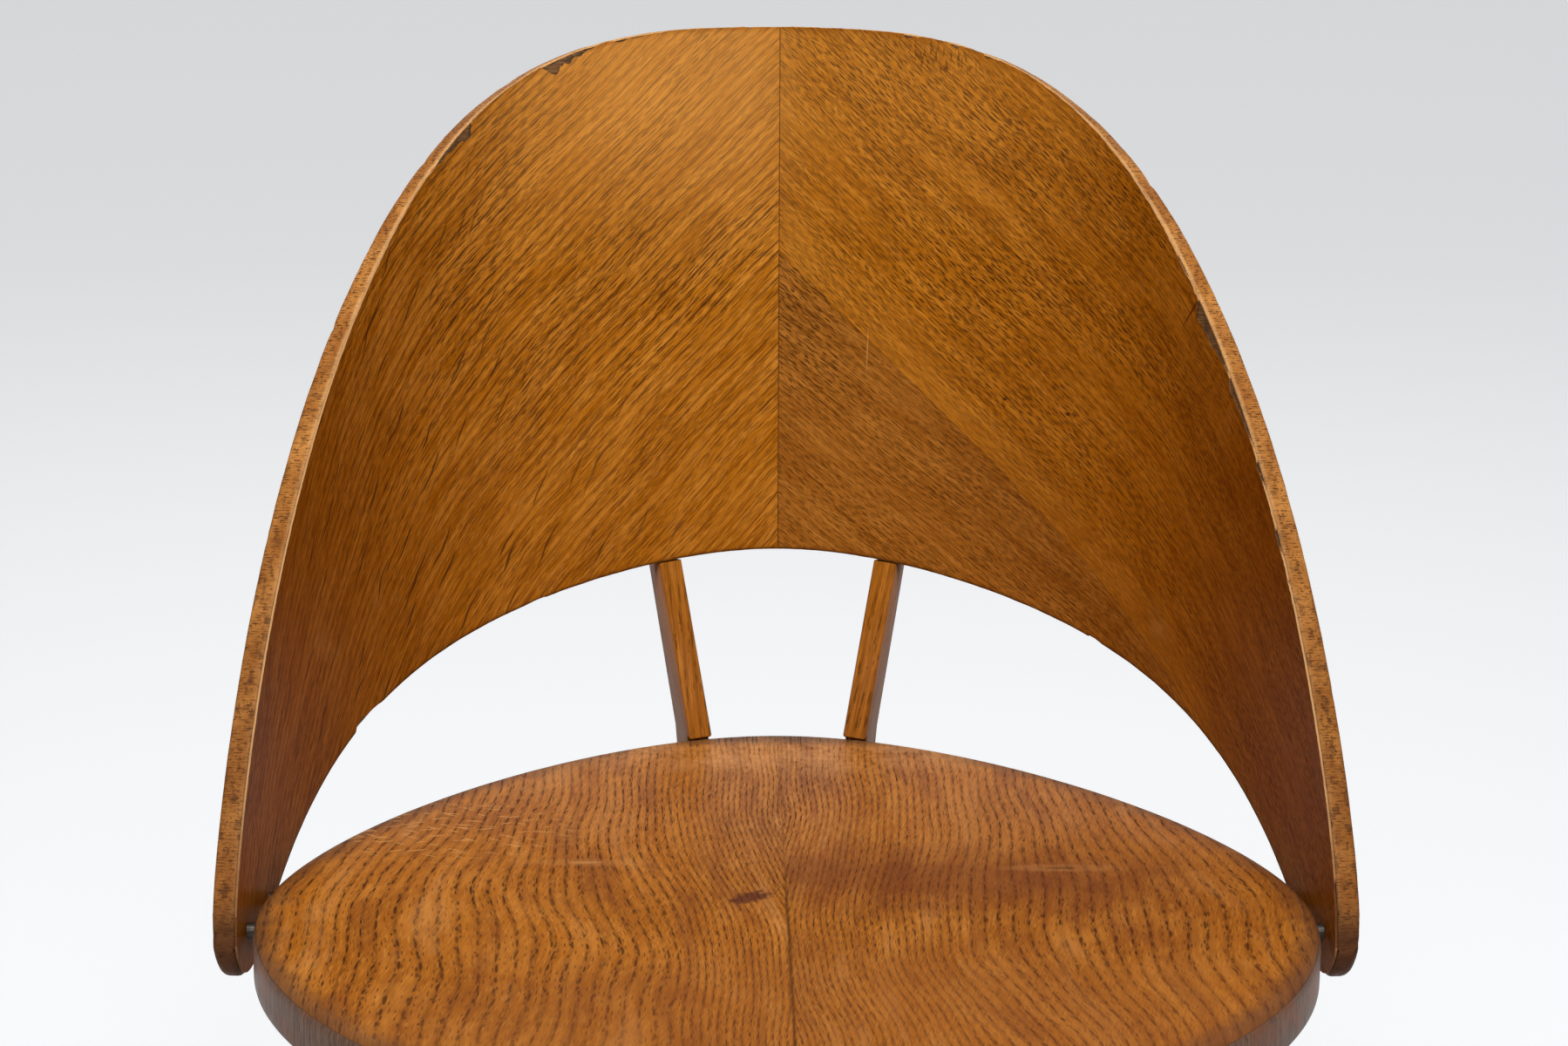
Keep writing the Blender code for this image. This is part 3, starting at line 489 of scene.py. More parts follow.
def back_places(finish, pores):
    """Marks that belong to places on the back: seam, middle joint, edges, long dark streaks, and painted
    light: shade on the far sides, a highlight above the seam and a sheen at the top.
    """
    paint, noise = finish.paint, finish.noise
    s, t, _ = finish.attribute("sheet")
    edge = finish.number("edge")
    run = abs(s)
    swirl = noise(s * 60.0, t * 90.0, 9.0, detail=4.0, roughness=0.6)
    wave = noise(run * 26.0, t * 26.0, 2.0) - 0.5
    ragged = noise(s * 300.0, t * 300.0, detail=3.0) - 0.5
    scorched = noise(s * 700.0, t * 160.0, 3.0, detail=3.0).step(0.50, 0.62)
    scuff = noise(s * 22.0, t * 22.0, 5.0, detail=4.0).step(0.64, 0.82)

    # Painted highlight: a light band just above the seam of the right-hand leaves
    above = s * math.sin(SEAM_SLOPE) + (t - SEAM_HEIGHT) * math.cos(SEAM_SLOPE)
    seam_highlight = above.step(0.0, 0.001) * above.step(0.024, 0.006) * s.step(0.0, 0.004)
    paint(seam_highlight * 0.16, OAK_LIGHT)
    low_end = spot(s, t, BACK_SWIRL, swirl * 0.6)
    paint(swirl.step(0.46, 0.62) * low_end * 0.45, OAK_DEEP)
    # Painted shade: the back darkens towards its far sides, which turn away from the key light, less so
    # higher up and more on the right
    side = (run - t * 0.18).step(-0.01, 0.28)
    side_shade_share = s.step(-0.010, 0.010) * 0.12 + 0.58
    paint(side * side_shade_share, SIDE_SHADE, "MULTIPLY")
    paint(t.step(0.30, 0.14) * 0.14, OAK_SIDE)
    # Painted highlight: a sheen of the lacquer at the top of the back, stronger on the left
    left_top_sheen = s.step(0.02, -0.02) * 0.24 + 0.08
    paint(t.step(0.26, 0.37) * (run - 0.10).step(0.10, -0.04) * left_top_sheen, BACK_TOP_SHEEN)

    outer = (run * 0.9 - t * 0.5).step(-0.10, 0.05)
    steep_along = run * 0.47 - t * 0.88
    steep_across = (run * 0.88 + t * 0.47) / STREAKS.pitch
    streaks = dashes(finish, steep_along, steep_across + wave * 1.2, STREAKS, 21.0)
    left_side = s.step(0.010, -0.010) * 0.75 + 0.20
    paint(streaks * outer * left_side * 0.78, PORE)
    paint(spot(s, t, BACK_SCRATCH, wave * 0.3) * 0.35, FLECK)
    paint(spot(s, t, BACK_CRACK, wave * 0.6) * 0.85, PORE)

    paint((edge + ragged * 0.003).step(0.0035, 0.0003) * 0.45, OAK_DEEP)
    arch = (edge + ragged * 0.0012).step(0.0018, 0.0004) * t.step(0.20, 0.16) * run.step(0.34, 0.28)
    paint(arch * 0.75, PORE)
    paint(scorched * spot(s, t, BACK_GRIME, ragged) * 0.55, PORE)
    for dot in BACK_DOTS:
        paint(spot(s, t, dot, ragged) * 0.85, PORE)
    joint = run.step(0.0004, 0.0001)
    paint(joint * 0.45, PORE)
    paint(scuff * 0.20, FLECK)
    return pores.largest(joint)


def outer_places(finish, pores):
    """Marks that belong to places on the back's outer face."""
    s, t, _ = finish.attribute("sheet")
    edge = finish.number("edge")
    ragged = finish.noise(s * 200.0, t * 200.0, detail=3.0) - 0.5
    finish.paint(abs(s).step(0.10, 0.36) * 0.50, OAK_SIDE)
    finish.paint((edge + ragged * 0.008).step(0.012, 0.002) * 0.50, OAK_DEEP)
    finish.paint((t + ragged * 0.030).step(0.016, -0.006) * 0.85, TIP_STAIN)
    return pores


def seat_places(finish, pores):
    """Marks that belong to places on the seat."""
    paint, noise = finish.paint, finish.noise
    x, y, _ = finish.attribute("sheet")
    along, ring, _ = finish.attribute("grain")
    edge = finish.number("edge")
    ragged = noise(x * 260.0, y * 260.0, detail=3.0) - 0.5
    broad = noise(x * 60.0, y * 60.0, 1.0, detail=3.0) - 0.5
    hair = noise(x * 1300.0 - y * 260.0, y * 110.0, 2.2, detail=3.0, roughness=0.65)
    smudge = noise(along * 13.0, ring * 0.30, 4.4, detail=4.0, roughness=0.6)

    joint = abs(x).step(0.0011, 0.0003) * (y.step(0.02, -0.08) * 0.62 + 0.18)
    paint(joint, PORE)
    paint(hair.step(0.50, 0.72) * 0.36, SEAT_HAIR)
    paint(hair.step(0.48, 0.26) * 0.55, SEAT_PATCH)
    paint(smudge.step(0.50, 0.68) * 0.42, SEAT_PATCH)
    paint(smudge.step(0.46, 0.30) * 0.20, SEAT_PALE)
    paint((edge + broad * 0.016).step(0.0170, 0.0010) * 0.66, SEAT_SIDE)

    paint(spot(x, y, SEAT_BLOT, ragged * 1.8) * 0.80, SEAT_STAIN)
    for place, share in SEAT_PATCHES:
        patch = spot(x, y, place, broad * 0.8 + ragged * 0.3)
        paint(patch * x.step(-0.001, 0.002) * share, SEAT_PATCH)
    paint(x.step(0.03, 0.15) * 0.17, SEAT_PATCH)
    paint(spot(x, y, SEAT_DULL_FRONT, ragged * 0.2) * 0.35, SEAT_DULL)
    # Painted highlight: a mottled sheen of the lacquer at the seat's rear
    worn = spot(x, y, SEAT_REAR_SHEEN, ragged * 0.5)
    paint(worn * (broad * 1.2 + ragged * 0.9 + 0.26), SEAT_PALE)

    rear = (y + broad * 0.008).step(SEAT_REAR_Y - 0.021, SEAT_REAR_Y - 0.008) * abs(x).step(0.066, 0.044)
    paint(rear * 0.60, SEAT_SIDE)
    splits = dashes(finish, y, x / SPLITS.pitch, SPLITS, 61.0)
    paint(splits * rear * 0.90, PORE)
    scratched = spot(x, y, SEAT_SCRATCHED, ragged * 0.3)
    for number, slope in enumerate(SCRATCH_SLOPES):
        rows = (y + x * slope) / SCRATCHES.pitch
        scratches = dashes(finish, x - y * slope, rows, SCRATCHES, 31.0 + number)
        paint(scratches * scratched * 0.62, FLECK)
    for centre, tint in SEAT_KNOTS:
        paint(spot(x, y, Spot(centre, KNOT_HALO), ragged * 0.5) * 0.16, SEAT_PALE)
        paint(spot(x, y, Spot(centre, KNOT_SLIT), ragged) * 0.45, tint)
    return pores.largest(joint)


def solid_places(finish, pores):
    """Painted grey sheen on the upright sides of the solid pieces, and small dark specks."""
    across = finish.split(finish.node("ShaderNodeTexCoord", "Normal"))[0]
    cloud = finish.speckle(90.0, 3.0)
    finish.paint(abs(across).step(0.70, 0.95) * (cloud * 0.5 + 0.40), SOLID_SIDE_SHEEN)
    finish.paint(finish.speckle(420.0, 2.0).step(0.68, 0.76) * 0.55, PORE)
    return pores


# Other finishes

def rim_finish(name):
    """Edge of the bent sheet: pale oak, browner low down, with short dark marks across its thickness, and a
    pale line on the arris by the face veneer that is partly wear and partly painted highlight.
    """
    finish = Finish(name)
    paint, noise = finish.paint, finish.noise
    run, depth, drop = finish.attribute("rim")
    cloud = noise(run * 38.0, depth * 60.0, detail=3.0)
    fibre = noise(run * 1400.0, depth * 120.0, detail=3.0)
    long_tone = noise(run * 14.0, depth * 10.0, 4.0)
    mottle = noise(run * 150.0, depth * 260.0, 7.0, detail=4.0, roughness=0.65)
    arris_wear_and_highlight = noise(run * 90.0, 1.0).step(0.25, 0.55)
    coarse = dashes(finish, depth, run / RIM_MARKS.pitch, RIM_MARKS, 41.0)
    fine = dashes(finish, depth + 0.002, run / RIM_FINE_MARKS.pitch, RIM_FINE_MARKS, 43.0)
    marks = coarse.largest(fine * 0.8) * (mottle.step(0.36, 0.56) * 0.6 + 0.4)
    low = (drop + (cloud - 0.5) * 0.10).step(0.300, 0.040)

    finish.colour = finish.mix(cloud.step(0.30, 0.70), RIM_MID, RIM_LIGHT)
    paint(long_tone.step(0.50, 0.68) * 0.45, OAK_MID)
    paint((fibre - 0.5).step(0.05, -0.25) * 0.45, RIM_DARK)
    paint(mottle.step(0.54, 0.70) * 0.40, RIM_DARK)
    paint(marks * 0.86, RIM_DARK)
    # Pale line on the arris by the face veneer: worn wood, and a painted highlight of the rounded edge
    inner = depth.step(BED + 0.0024, BED + 0.0002)
    paint(inner * (arris_wear_and_highlight * 0.45 + 0.25) * (1.0 - low * 0.7), ARRIS)
    outer = depth.step(BACK_THICKNESS - 0.0012, BACK_THICKNESS - 0.0001)
    paint(outer * 0.5, OAK_MID)
    paint(low * 0.52, RIM_LOW)
    paint(mottle.step(0.50, 0.62) * low * 0.50, TIP_STAIN)
    paint((drop + (mottle - 0.5) * 0.030).step(0.016, -0.006) * 0.85, TIP_STAIN)
    roughness = marks * 0.2 + cloud * 0.15 + 0.36
    return finish.close(roughness, fibre * 0.3 - marks, PORE_DEPTH, strength=0.5, shine=0.04)


def bare_finish(name):
    """Brown under-layer that shows where the face veneer is chipped, paler at the outline."""
    finish = Finish(name)
    s, t, _ = finish.attribute("sheet")
    fibre = finish.noise(s * 90.0, t * 1300.0, detail=3.0)
    cloud = finish.noise(s * 120.0, t * 120.0, 2.0, detail=3.0)
    finish.colour = finish.mix(fibre.step(0.35, 0.7), BARE, BARE_LIGHT)
    finish.paint(cloud.step(0.60, 0.42) * 0.7, BARE_DARK)
    edge = finish.number("edge") + (cloud - 0.5) * 0.0016
    # Pale line by the outline: worn arris, and a painted highlight of its rounded edge
    finish.paint(edge.step(0.0017, 0.0009) * 0.65, ARRIS)
    finish.paint((t + (cloud - 0.5) * 0.06).step(0.090, -0.005) * 0.75, RIM_LOW)
    return finish.close(fibre * 0.2 + 0.6, fibre, 0.0006)


def seat_side_finish(name):
    """Seat edge: grey-brown upright grain, redder in places."""
    finish = Finish(name)
    run, height, _ = finish.attribute("rim")
    fibre = finish.noise(run * 900.0, height * 40.0, detail=3.0, roughness=0.6)
    cloud = finish.noise(run * 40.0, height * 60.0, 1.0, detail=3.0)
    marks = dashes(finish, height, run / SEAT_SIDE_MARKS.pitch, SEAT_SIDE_MARKS, 51.0)
    finish.colour = finish.mix(fibre.step(0.30, 0.70), SEAT_SIDE, SEAT_SIDE_LIGHT)
    finish.paint(cloud.step(0.45, 0.70) * 0.4, OAK_RED)
    finish.paint(marks * 0.55, PORE)
    return finish.close(cloud * 0.15 + 0.34, fibre * 0.4 - marks, 0.0004, strength=0.4)


def metal_finish(name, colour, tint, roughness):
    """Dull metal with clouds of tarnish and fine scratches."""
    finish = Finish(name)
    cloud = finish.speckle(600.0, 4.0)
    scratch = finish.speckle(2600.0, 2.0)
    finish.colour = finish.mix(cloud.step(0.35, 0.75) * 0.6, colour, tint)
    finish.set(finish.shader, Metallic=1.0)
    return finish.close(cloud * 0.25 + roughness, scratch, 0.00005, strength=0.3)


def nylon_finish(name):
    finish = Finish(name)
    grain = finish.speckle(1800.0, 3.0)
    cloud = finish.speckle(120.0, 3.0)
    finish.colour = finish.mix(cloud.step(0.3, 0.7), NYLON, NYLON_LIGHT)
    return finish.close(cloud * 0.2 + 0.5, grain, 0.0001, strength=0.3)


# Curves and the bent sheet

def bezier(knots):
    """Points of a chain of (point, handle before, handle after)."""
    chain = []
    for (start, _, out), (end, into, _) in zip(knots, knots[1:]):
        chain += interpolate_bezier(Vector(start), Vector(out), Vector(into), Vector(end), BEZIER_STEPS)
    return np.array([tuple(point)[:2] for point in chain])


def arc_length(points):
    """How far along a line each of its points lies."""
    return np.concatenate(([0.0], np.cumsum(np.hypot(*np.diff(points, axis=0).T))))


def spread(points, count, last=1.0):
    """The same line as count + 1 points at even distances, up to a share of its length."""
    run = arc_length(points)
    wanted = np.linspace(0.0, last, count + 1) * run[-1]
    return np.stack([np.interp(wanted, run, points[:, axis]) for axis in (0, 1)], axis=1)


def smooth(value, low, high):
    """Smooth 0 to 1 as the value goes from low to high."""
    share = np.clip((value - low) / (high - low), 0.0, 1.0)
    return share * share * (3 - 2 * share)


def plan_curve():
    """Half plan of the bent sheet: arc length, places beside it and slope."""
    reach = SEAT_REAR + BACK_SETBACK - BACK_PIVOT_Y - ARCH_TOP * math.sin(BACK_RECLINE)
    depth = reach / math.cos(BACK_RECLINE) - BACK_CURVE_CENTRE
    share = (TIP_FRONT - BACK_CURVE_CENTRE) / depth
    end = SEAT_HALF_WIDTH + TIP_GAP
    half = end / (1 - share ** BACK_CURVE_POWER) ** (1 / BACK_CURVE_POWER)
    x = np.linspace(0.0, end, PLAN_STEPS + 1)
    y = BACK_CURVE_CENTRE + depth * (1 - (x / half) ** BACK_CURVE_POWER) ** (1 / BACK_CURVE_POWER)
    return arc_length(np.column_stack((x, y))), x, y, np.gradient(y, x)


PLAN = plan_curve()
SHEET_END = PLAN[0][-1]
BACK_MATRIX = (Matrix.Translation((0, BACK_PIVOT_Y + SEAT_WIDEST_Y, SEAT_TOP))
               @ Matrix.Rotation(-BACK_RECLINE, 4, "X"))
MIRROR = np.array((-1.0, 1.0))


def bend(flat, depth):
    """Points in the chair's frame of flat sheet points (s, t) at a depth behind the inner face."""
    run, x, y, slope = PLAN
    s = np.abs(flat[:, 0])
    side = np.where(flat[:, 0] < 0, -1.0, 1.0)
    tilt = np.interp(s, run, slope)
    size = np.hypot(1.0, tilt)
    px = np.interp(s, run, x) - tilt / size * depth
    py = np.interp(s, run, y) + depth / size
    local = np.stack([px * side, py, flat[:, 1], np.ones(len(flat))])
    return (np.array(BACK_MATRIX) @ local)[:3].T


def back_edges(columns):
    """Upper and lower outline of the flattened back, left tip to right tip, point for point."""
    end = SHEET_END
    shoulder = Vector((end - SHOULDER_RUN, SHOULDER_HEIGHT))
    fall = Vector((math.cos(SHOULDER_SLOPE), -math.sin(SHOULDER_SLOPE)))
    foot = Vector((end - ARCH_END_RUN, ARCH_END_HEIGHT))
    rise = Vector((-math.cos(ARCH_END_SLOPE), math.sin(ARCH_END_SLOPE)))
    bottom = end - TIP_BOTTOM_RUN
    top = ((0, BACK_TOP), (0, BACK_TOP), (BACK_TOP_PULL, BACK_TOP))
    shoulder_knot = (shoulder, shoulder - fall * SHOULDER_PULL_UP, shoulder + fall * SHOULDER_PULL_DOWN)
    tip = ((end, TIP_LEVEL), (end, TIP_LEVEL + TIP_LEVEL_PULL), (end, TIP_LEVEL - TIP_CORNER))
    low = ((bottom, TIP_BOTTOM), (bottom + TIP_CORNER, TIP_BOTTOM), (bottom - TIP_CORNER, TIP_BOTTOM))
    heel = (foot, foot - rise * ARCH_END_CORNER, foot + rise * ARCH_END_PULL)
    crown = ((0, ARCH_TOP), (ARCH_TOP_PULL, ARCH_TOP), (0, ARCH_TOP))
    upper = spread(bezier((top, shoulder_knot, tip)), columns, EDGE_SHARE)
    lower = spread(bezier((tip, low, heel, crown))[::-1], columns, EDGE_SHARE)
    return [np.concatenate((line[:0:-1] * MIRROR, line)) for line in (upper, lower)]


def outward(loop):
    """Outward normals of a closed loop of points that runs clockwise."""
    along = np.roll(loop, -1, axis=0) - np.roll(loop, 1, axis=0)
    along /= np.linalg.norm(along, axis=1)[:, None]
    return np.stack([-along[:, 1], along[:, 0]], axis=1)


def wander(run, seed, waves=((180, 0.5), (420, 0.3), (1100, 0.2))):
    """Deterministic wavering between -1 and 1 along a line. A wave is its rate and its share."""
    total = np.zeros_like(run)
    for number, (rate, share) in enumerate(waves):
        phase = 2.399 * (seed + 1) * (number + 1)
        total += share * np.sin(run * rate + phase + 1.7 * np.sin(run * rate * 0.37 + phase * 2.0))
    return total


def distance_to(points, line):
    """Distance from each point to the nearest point of a dense line."""
    tree = KDTree(len(line))
    for number, (x, y) in enumerate(line):
        tree.insert((x, y, 0.0), number)
    tree.balance()
    return np.array([tree.find((x, y, 0.0))[2] for x, y in points])


# Meshes

def grid_faces(columns, rows, offset=0, flip=False):
    """Quads of a grid whose points run row after row within each column."""
    corners = [offset + i * (rows + 1) + k for i in range(columns) for k in range(rows)]
    faces = [(a, a + rows + 1, a + rows + 2, a + 1) for a in corners]
    return [face[::-1] for face in faces] if flip else faces


def ring_faces(first, second):
    """Quads between two closed rings of as many points."""
    following = first[1:] + first[:1]
    beyond = second[1:] + second[:1]
    return [(b, a, c, d) for a, b, c, d in zip(first, following, second, beyond)]


def between(lower, upper, rows):
    """Grid points between two lines of points, closer together near both."""
    share = 0.5 - 0.5 * np.cos(np.linspace(0.0, math.pi, rows + 1))
    grid = lower[:, None, :] * (1 - share)[None, :, None] + upper[:, None, :] * share[None, :, None]
    return grid.reshape(-1, 2)


def new_object(name, data):
    obj = bpy.data.objects.new(name, data)
    bpy.context.scene.collection.objects.link(obj)
    return obj


def add_piece(name, mesh, node):
    """Object that rides on the chair and stands for a node."""
    piece = new_object(name, mesh)
    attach(piece, "root")
    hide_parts(node)
    return piece


def new_piece(name, points, faces, materials, kinds, node):
    """Piece from points and faces. A face's kind is the number of its material."""
    mesh = bpy.data.meshes.new(name)
    mesh.from_pydata([tuple(point) for point in points], [], faces)
    for material in materials:
        mesh.materials.append(material)
    mesh.polygons.foreach_set("material_index", np.asarray(kinds, dtype=np.int32))
    mesh.shade_smooth()
    mesh.update()
    return add_piece(name, mesh, node)


def veneer(name, faces, front, rear, materials):
    """Closed sheet of veneer over a patch of faces: its front, its rear and the wall between them."""
    count = len(front)
    edges = dict.fromkeys((a, b) for face in faces for a, b in zip(face, face[1:] + face[:1]))
    back = [tuple(index + count for index in face[::-1]) for face in faces]
    walls = [(b, a, a + count, b + count) for a, b in edges if (b, a) not in edges]
    kinds = [0] * len(faces) + [1] * len(back) + [2] * len(walls)
    points = np.concatenate((front, rear))
    piece = new_piece(name, points, faces + back + walls, materials, kinds, name)
    piece.data.set_sharp_from_angle(angle=SHARP_ANGLE)
    return piece


def dressed(node, kind, material):
    """Welded copy of a node's mesh in a new finish."""
    bm = bmesh.new()
    bm.from_mesh(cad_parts[node].data)
    bmesh.ops.remove_doubles(bm, verts=bm.verts, dist=WELD)
    mesh = bpy.data.meshes.new(node)
    bm.to_mesh(mesh)
    bm.free()
    mesh.materials.clear()
    mesh.materials.append(material)
    mesh.shade_smooth()
    mesh.set_sharp_from_angle(angle=SOLID_SHARP_ANGLE)
    return add_piece(f"{node}_{kind}", mesh, node)


def mark(piece, **attributes):
    """Gives a piece the attributes that its finishes read: one, two or three numbers for each point."""
    for name, values in attributes.items():
        if values.ndim == 1:
            layer = piece.data.attributes.new(name, "FLOAT", "POINT")
            layer.data.foreach_set("value", values.astype(np.float32))
        else:
            padded = np.zeros((len(values), 3), dtype=np.float32)
            padded[:, :values.shape[1]] = values
            layer = piece.data.attributes.new(name, "FLOAT_VECTOR", "POINT")
            layer.data.foreach_set("vector", padded.ravel())


# Back

def chip_depth(s, chips):
    """How far an edge of the veneer is broken back at a place along the sheet."""
    depth = np.zeros_like(s)
    for start, end, size, steep_first in chips:
        share = (s - start) / (end - start)
        if steep_first < 0:
            share = 1.0 - share
        inside = (share > 0.0) & (share < 1.0)
        shape = np.minimum(share / CHIP_STEEP_SHARE, (1.0 - share) / (1.0 - CHIP_STEEP_SHARE))
        rough = 1.0 + 0.28 * wander(s, 3, ((700, 0.6), (1500, 0.4)))
        depth = np.where(inside, np.maximum(depth, size * shape * rough), depth)
    return depth


def nicks(run):
    """Small dents of the rim: depth at each place along it."""
    depth = np.zeros_like(run)
    for number in range(RIM_NICKS):
        centre = (number + 0.5 + 0.4 * math.sin(number * 5.1)) / RIM_NICKS * run[-1]
        width = 0.0012 + 0.0010 * abs(math.sin(number * 2.3))
        size = 0.0002 + 0.0005 * abs(math.sin(number * 3.7)) ** 3
        depth += size * np.exp(-((run - centre) / width) ** 2)
    return depth


def tip_wear(flat):
    """How much rounder than elsewhere the edge is, which is only so low down on the tips."""
    return TIP_SOFTNESS * smooth(-flat[:, 1], TIP_SOFT_FROM, TIP_SOFT_TO)


def back_grain(flat, angle=BACK_GRAIN):
    """Grain of the back: metres along it and rings across it, steeper low down on the left."""
    s = np.abs(flat[:, 0])
    t = flat[:, 1]
    side = np.where(flat[:, 0] < 0, 0.0, 1.0)
    along = s * math.cos(angle) - t * math.sin(angle)
    across = s * math.sin(angle) + t * math.cos(angle)
    below = np.log1p(np.exp((LEFT_GRAIN_TURN_LEVEL - t) * LEFT_GRAIN_TURN_RATE)) / LEFT_GRAIN_TURN_RATE
    across += (1.0 - side) * LEFT_GRAIN_TURN * s * below
    across += 0.0012 * np.sin(along * 24.0 + across * 14.0 + 0.8)
    across += 0.0004 * np.sin(along * 74.0 - across * 33.0)
    size = np.full(len(flat), BACK_RING)
    return np.stack([along + side * 0.731, across / BACK_RING + side * 101.0, size], axis=1)


def mark_back(piece, flat, outline, angle=BACK_GRAIN):
    """Marks a piece of the back. The long lines of its grain show most at the top."""
    strength = smooth(flat[:, 1], 0.13, 0.27) * (1.0 - smooth(np.abs(flat[:, 0]), 0.15, 0.27))
    mark(piece, sheet=flat, grain=back_grain(flat, angle), strength=strength, edge=distance_to(flat, outline))


def veneer_grid(columns):
    """Grid of flat points of the whole face veneer, with its broken edges, and the outline of the back."""
    upper, lower = back_edges(columns)
    loop = np.concatenate((upper, lower[::-1]))
    normals = outward(loop)
    count = len(upper)
    run = arc_length(upper)
    s = upper[:, 0]
    ragged = TOP_RAGGED + TOP_RAGGED_RIGHT * smooth(s, 0.16, 0.21) * (1.0 - smooth(s, 0.30, 0.33))
    top_inset = TOP_INSET + ragged * (1.0 + wander(run, 1, ((420, 0.4), (1100, 0.3), (2600, 0.3))))
    top_inset += chip_depth(s, UPPER_CHIPS)
    low_inset = LOW_INSET + LOW_WAVER * wander(run, 2) + chip_depth(lower[:, 0], LOWER_CHIPS)
    low_inset += FRONT_ROUND * tip_wear(lower)
    top = upper - normals[:count] * top_inset[:, None]
    low = lower - normals[count:][::-1] * low_inset[:, None]
    return between(low, top, VENEER_ROWS).reshape(count, VENEER_ROWS + 1, 2), loop


def veneer_leaf(name, grid, trims, material, bare, loop, angle=BACK_GRAIN):
    """One leaf of the back's face veneer. A trim is (point, normal): what lies beyond it goes."""
    bm = bmesh.new()
    verts = [bm.verts.new((s, t, 0.0)) for s, t in grid.reshape(-1, 2)]
    for face in grid_faces(len(grid) - 1, VENEER_ROWS):
        bm.faces.new([verts[index] for index in face])
    for point, normal in trims:
        bmesh.ops.bisect_plane(bm, geom=[*bm.verts, *bm.edges, *bm.faces], dist=WELD,
                               plane_co=(*point, 0), plane_no=(*normal, 0), clear_outer=True)
    bm.verts.ensure_lookup_table()
    bm.verts.index_update()
    flat = np.array([vert.co[:2] for vert in bm.verts])
    faces = [tuple(vert.index for vert in face.verts) for face in bm.faces]
    bm.free()
    piece = veneer(name, faces, bend(flat, 0.0), bend(flat, VENEER), (material, bare, bare))
    mark_back(piece, np.concatenate((flat, flat)), loop, angle)
    worn = piece.modifiers.new("worn edges", "BEVEL")
    worn.width = VENEER_BEVEL
    worn.segments = 2
    worn.limit_method = "ANGLE"
    worn.angle_limit = BEVEL_ANGLE


def build_back_core(materials):
    """Core of the back with its rim and its outer face."""
    upper, lower = back_edges(CORE_HALF_COLUMNS)
    columns = len(upper) - 1
    rows = CORE_ROWS
    index = np.arange((columns + 1) * (rows + 1)).reshape(columns + 1, rows + 1)
    loop = np.concatenate((index[:, rows], index[columns, rows - 1:0:-1], index[::-1, 0], index[0, 1:rows]))
    edge = between(lower, upper, rows)[loop]
    normal = outward(edge)
    run = arc_length(edge)
    dents = -RIM_DENT * (1.0 + wander(run, 7)) - nicks(run)
    edge = edge + normal * dents[:, None]

    # Cross-section of the rim, front to rear, as how far it lies inside the outline and how deep
    soft = 1.0 + tip_wear(edge)
    front_round, rear_round = FRONT_ROUND * soft, REAR_ROUND * soft
    quarter = np.linspace(0.0, math.pi / 2, ROUND_STEPS)
    profile = [(front_round * (1 - math.sin(a)), BED + front_round * (1 - math.cos(a))) for a in quarter]
    for share in (0.33, 0.67):
        middle = BED + front_round + share * (BACK_THICKNESS - BED - front_round - rear_round)
        profile.append((np.zeros(len(edge)), middle))
    profile += [(rear_round * (1 - math.sin(a)), BACK_THICKNESS - rear_round * (1 - math.cos(a)))
                for a in quarter[::-1]]

    # Both faces reach to the first and last ring of the rim
    ring_flats = [edge - normal * amount[:, None] for amount, _ in profile]
    low = slice(columns + rows, 2 * columns + rows + 1)
    sides = [between(ring[low][::-1], ring[:columns + 1], rows) for ring in (ring_flats[0], ring_flats[-1])]
    size = index.size
    flats = np.concatenate(sides + ring_flats[1:-1])
    depths = np.concatenate([np.full(size, BED), np.full(size, BACK_THICKNESS)]
                            + [level for _, level in profile[1:-1]])
    faces = grid_faces(columns, rows) + grid_faces(columns, rows, size, flip=True)
    kinds = [0] * (len(faces) // 2) + [2] * (len(faces) // 2)
    rings = [list(loop)]
    for number in range(len(profile) - 2):
        start = 2 * size + number * len(edge)
        rings.append(list(range(start, start + len(edge))))
    rings.append([size + place for place in loop])
    for first, second in zip(rings, rings[1:]):
        faces += ring_faces(first, second)
        kinds += [1] * len(edge)

    piece = new_piece("back_core", bend(flats, depths), faces, materials, kinds, "back_panel")
    along = np.zeros(len(flats))
    for ring in rings:
        along[ring] = run
    mark(piece, rim=np.column_stack((along, depths, flats[:, 1])))
    mark_back(piece, flats, edge)


def build_back():
    left_face = oak_face("oak_back_left", LEFT_OAK, LEFT_MARKS, places=back_places)
    right_face = oak_face("oak_back_right", RIGHT_OAK, RIGHT_MARKS, places=back_places)
    lower_face = oak_face("oak_back_lower", LOWER_OAK, LOWER_MARKS, places=back_places)
    outer = oak_face("oak_back_outer", LEFT_OAK, LEFT_MARKS, places=outer_places)
    bare = bare_finish("under_veneer")
    build_back_core((bare, rim_finish("back_rim"), outer))
    grid, loop = veneer_grid(HALF_COLUMNS)
    seam = JOINT_GAP / 2
    left = grid[:HALF_COLUMNS + 1].copy()
    right = grid[HALF_COLUMNS:].copy()
    left[..., 0] = np.minimum(left[..., 0], -seam)
    right[..., 0] = np.maximum(right[..., 0], seam)
    across = Vector((math.sin(SEAM_SLOPE), math.cos(SEAM_SLOPE)))
    joint = Vector((0, SEAM_HEIGHT))
    above = ((joint + across * seam, -across),)
    below = ((joint - across * seam, across),)
    veneer_leaf("back_veneer_left", left, (), left_face, bare, loop)
    veneer_leaf("back_veneer_right_upper", right, above, right_face, bare, loop)
    veneer_leaf("back_veneer_right_lower", right, below, lower_face, bare, loop, LOWER_LEAF_GRAIN)


# Seat

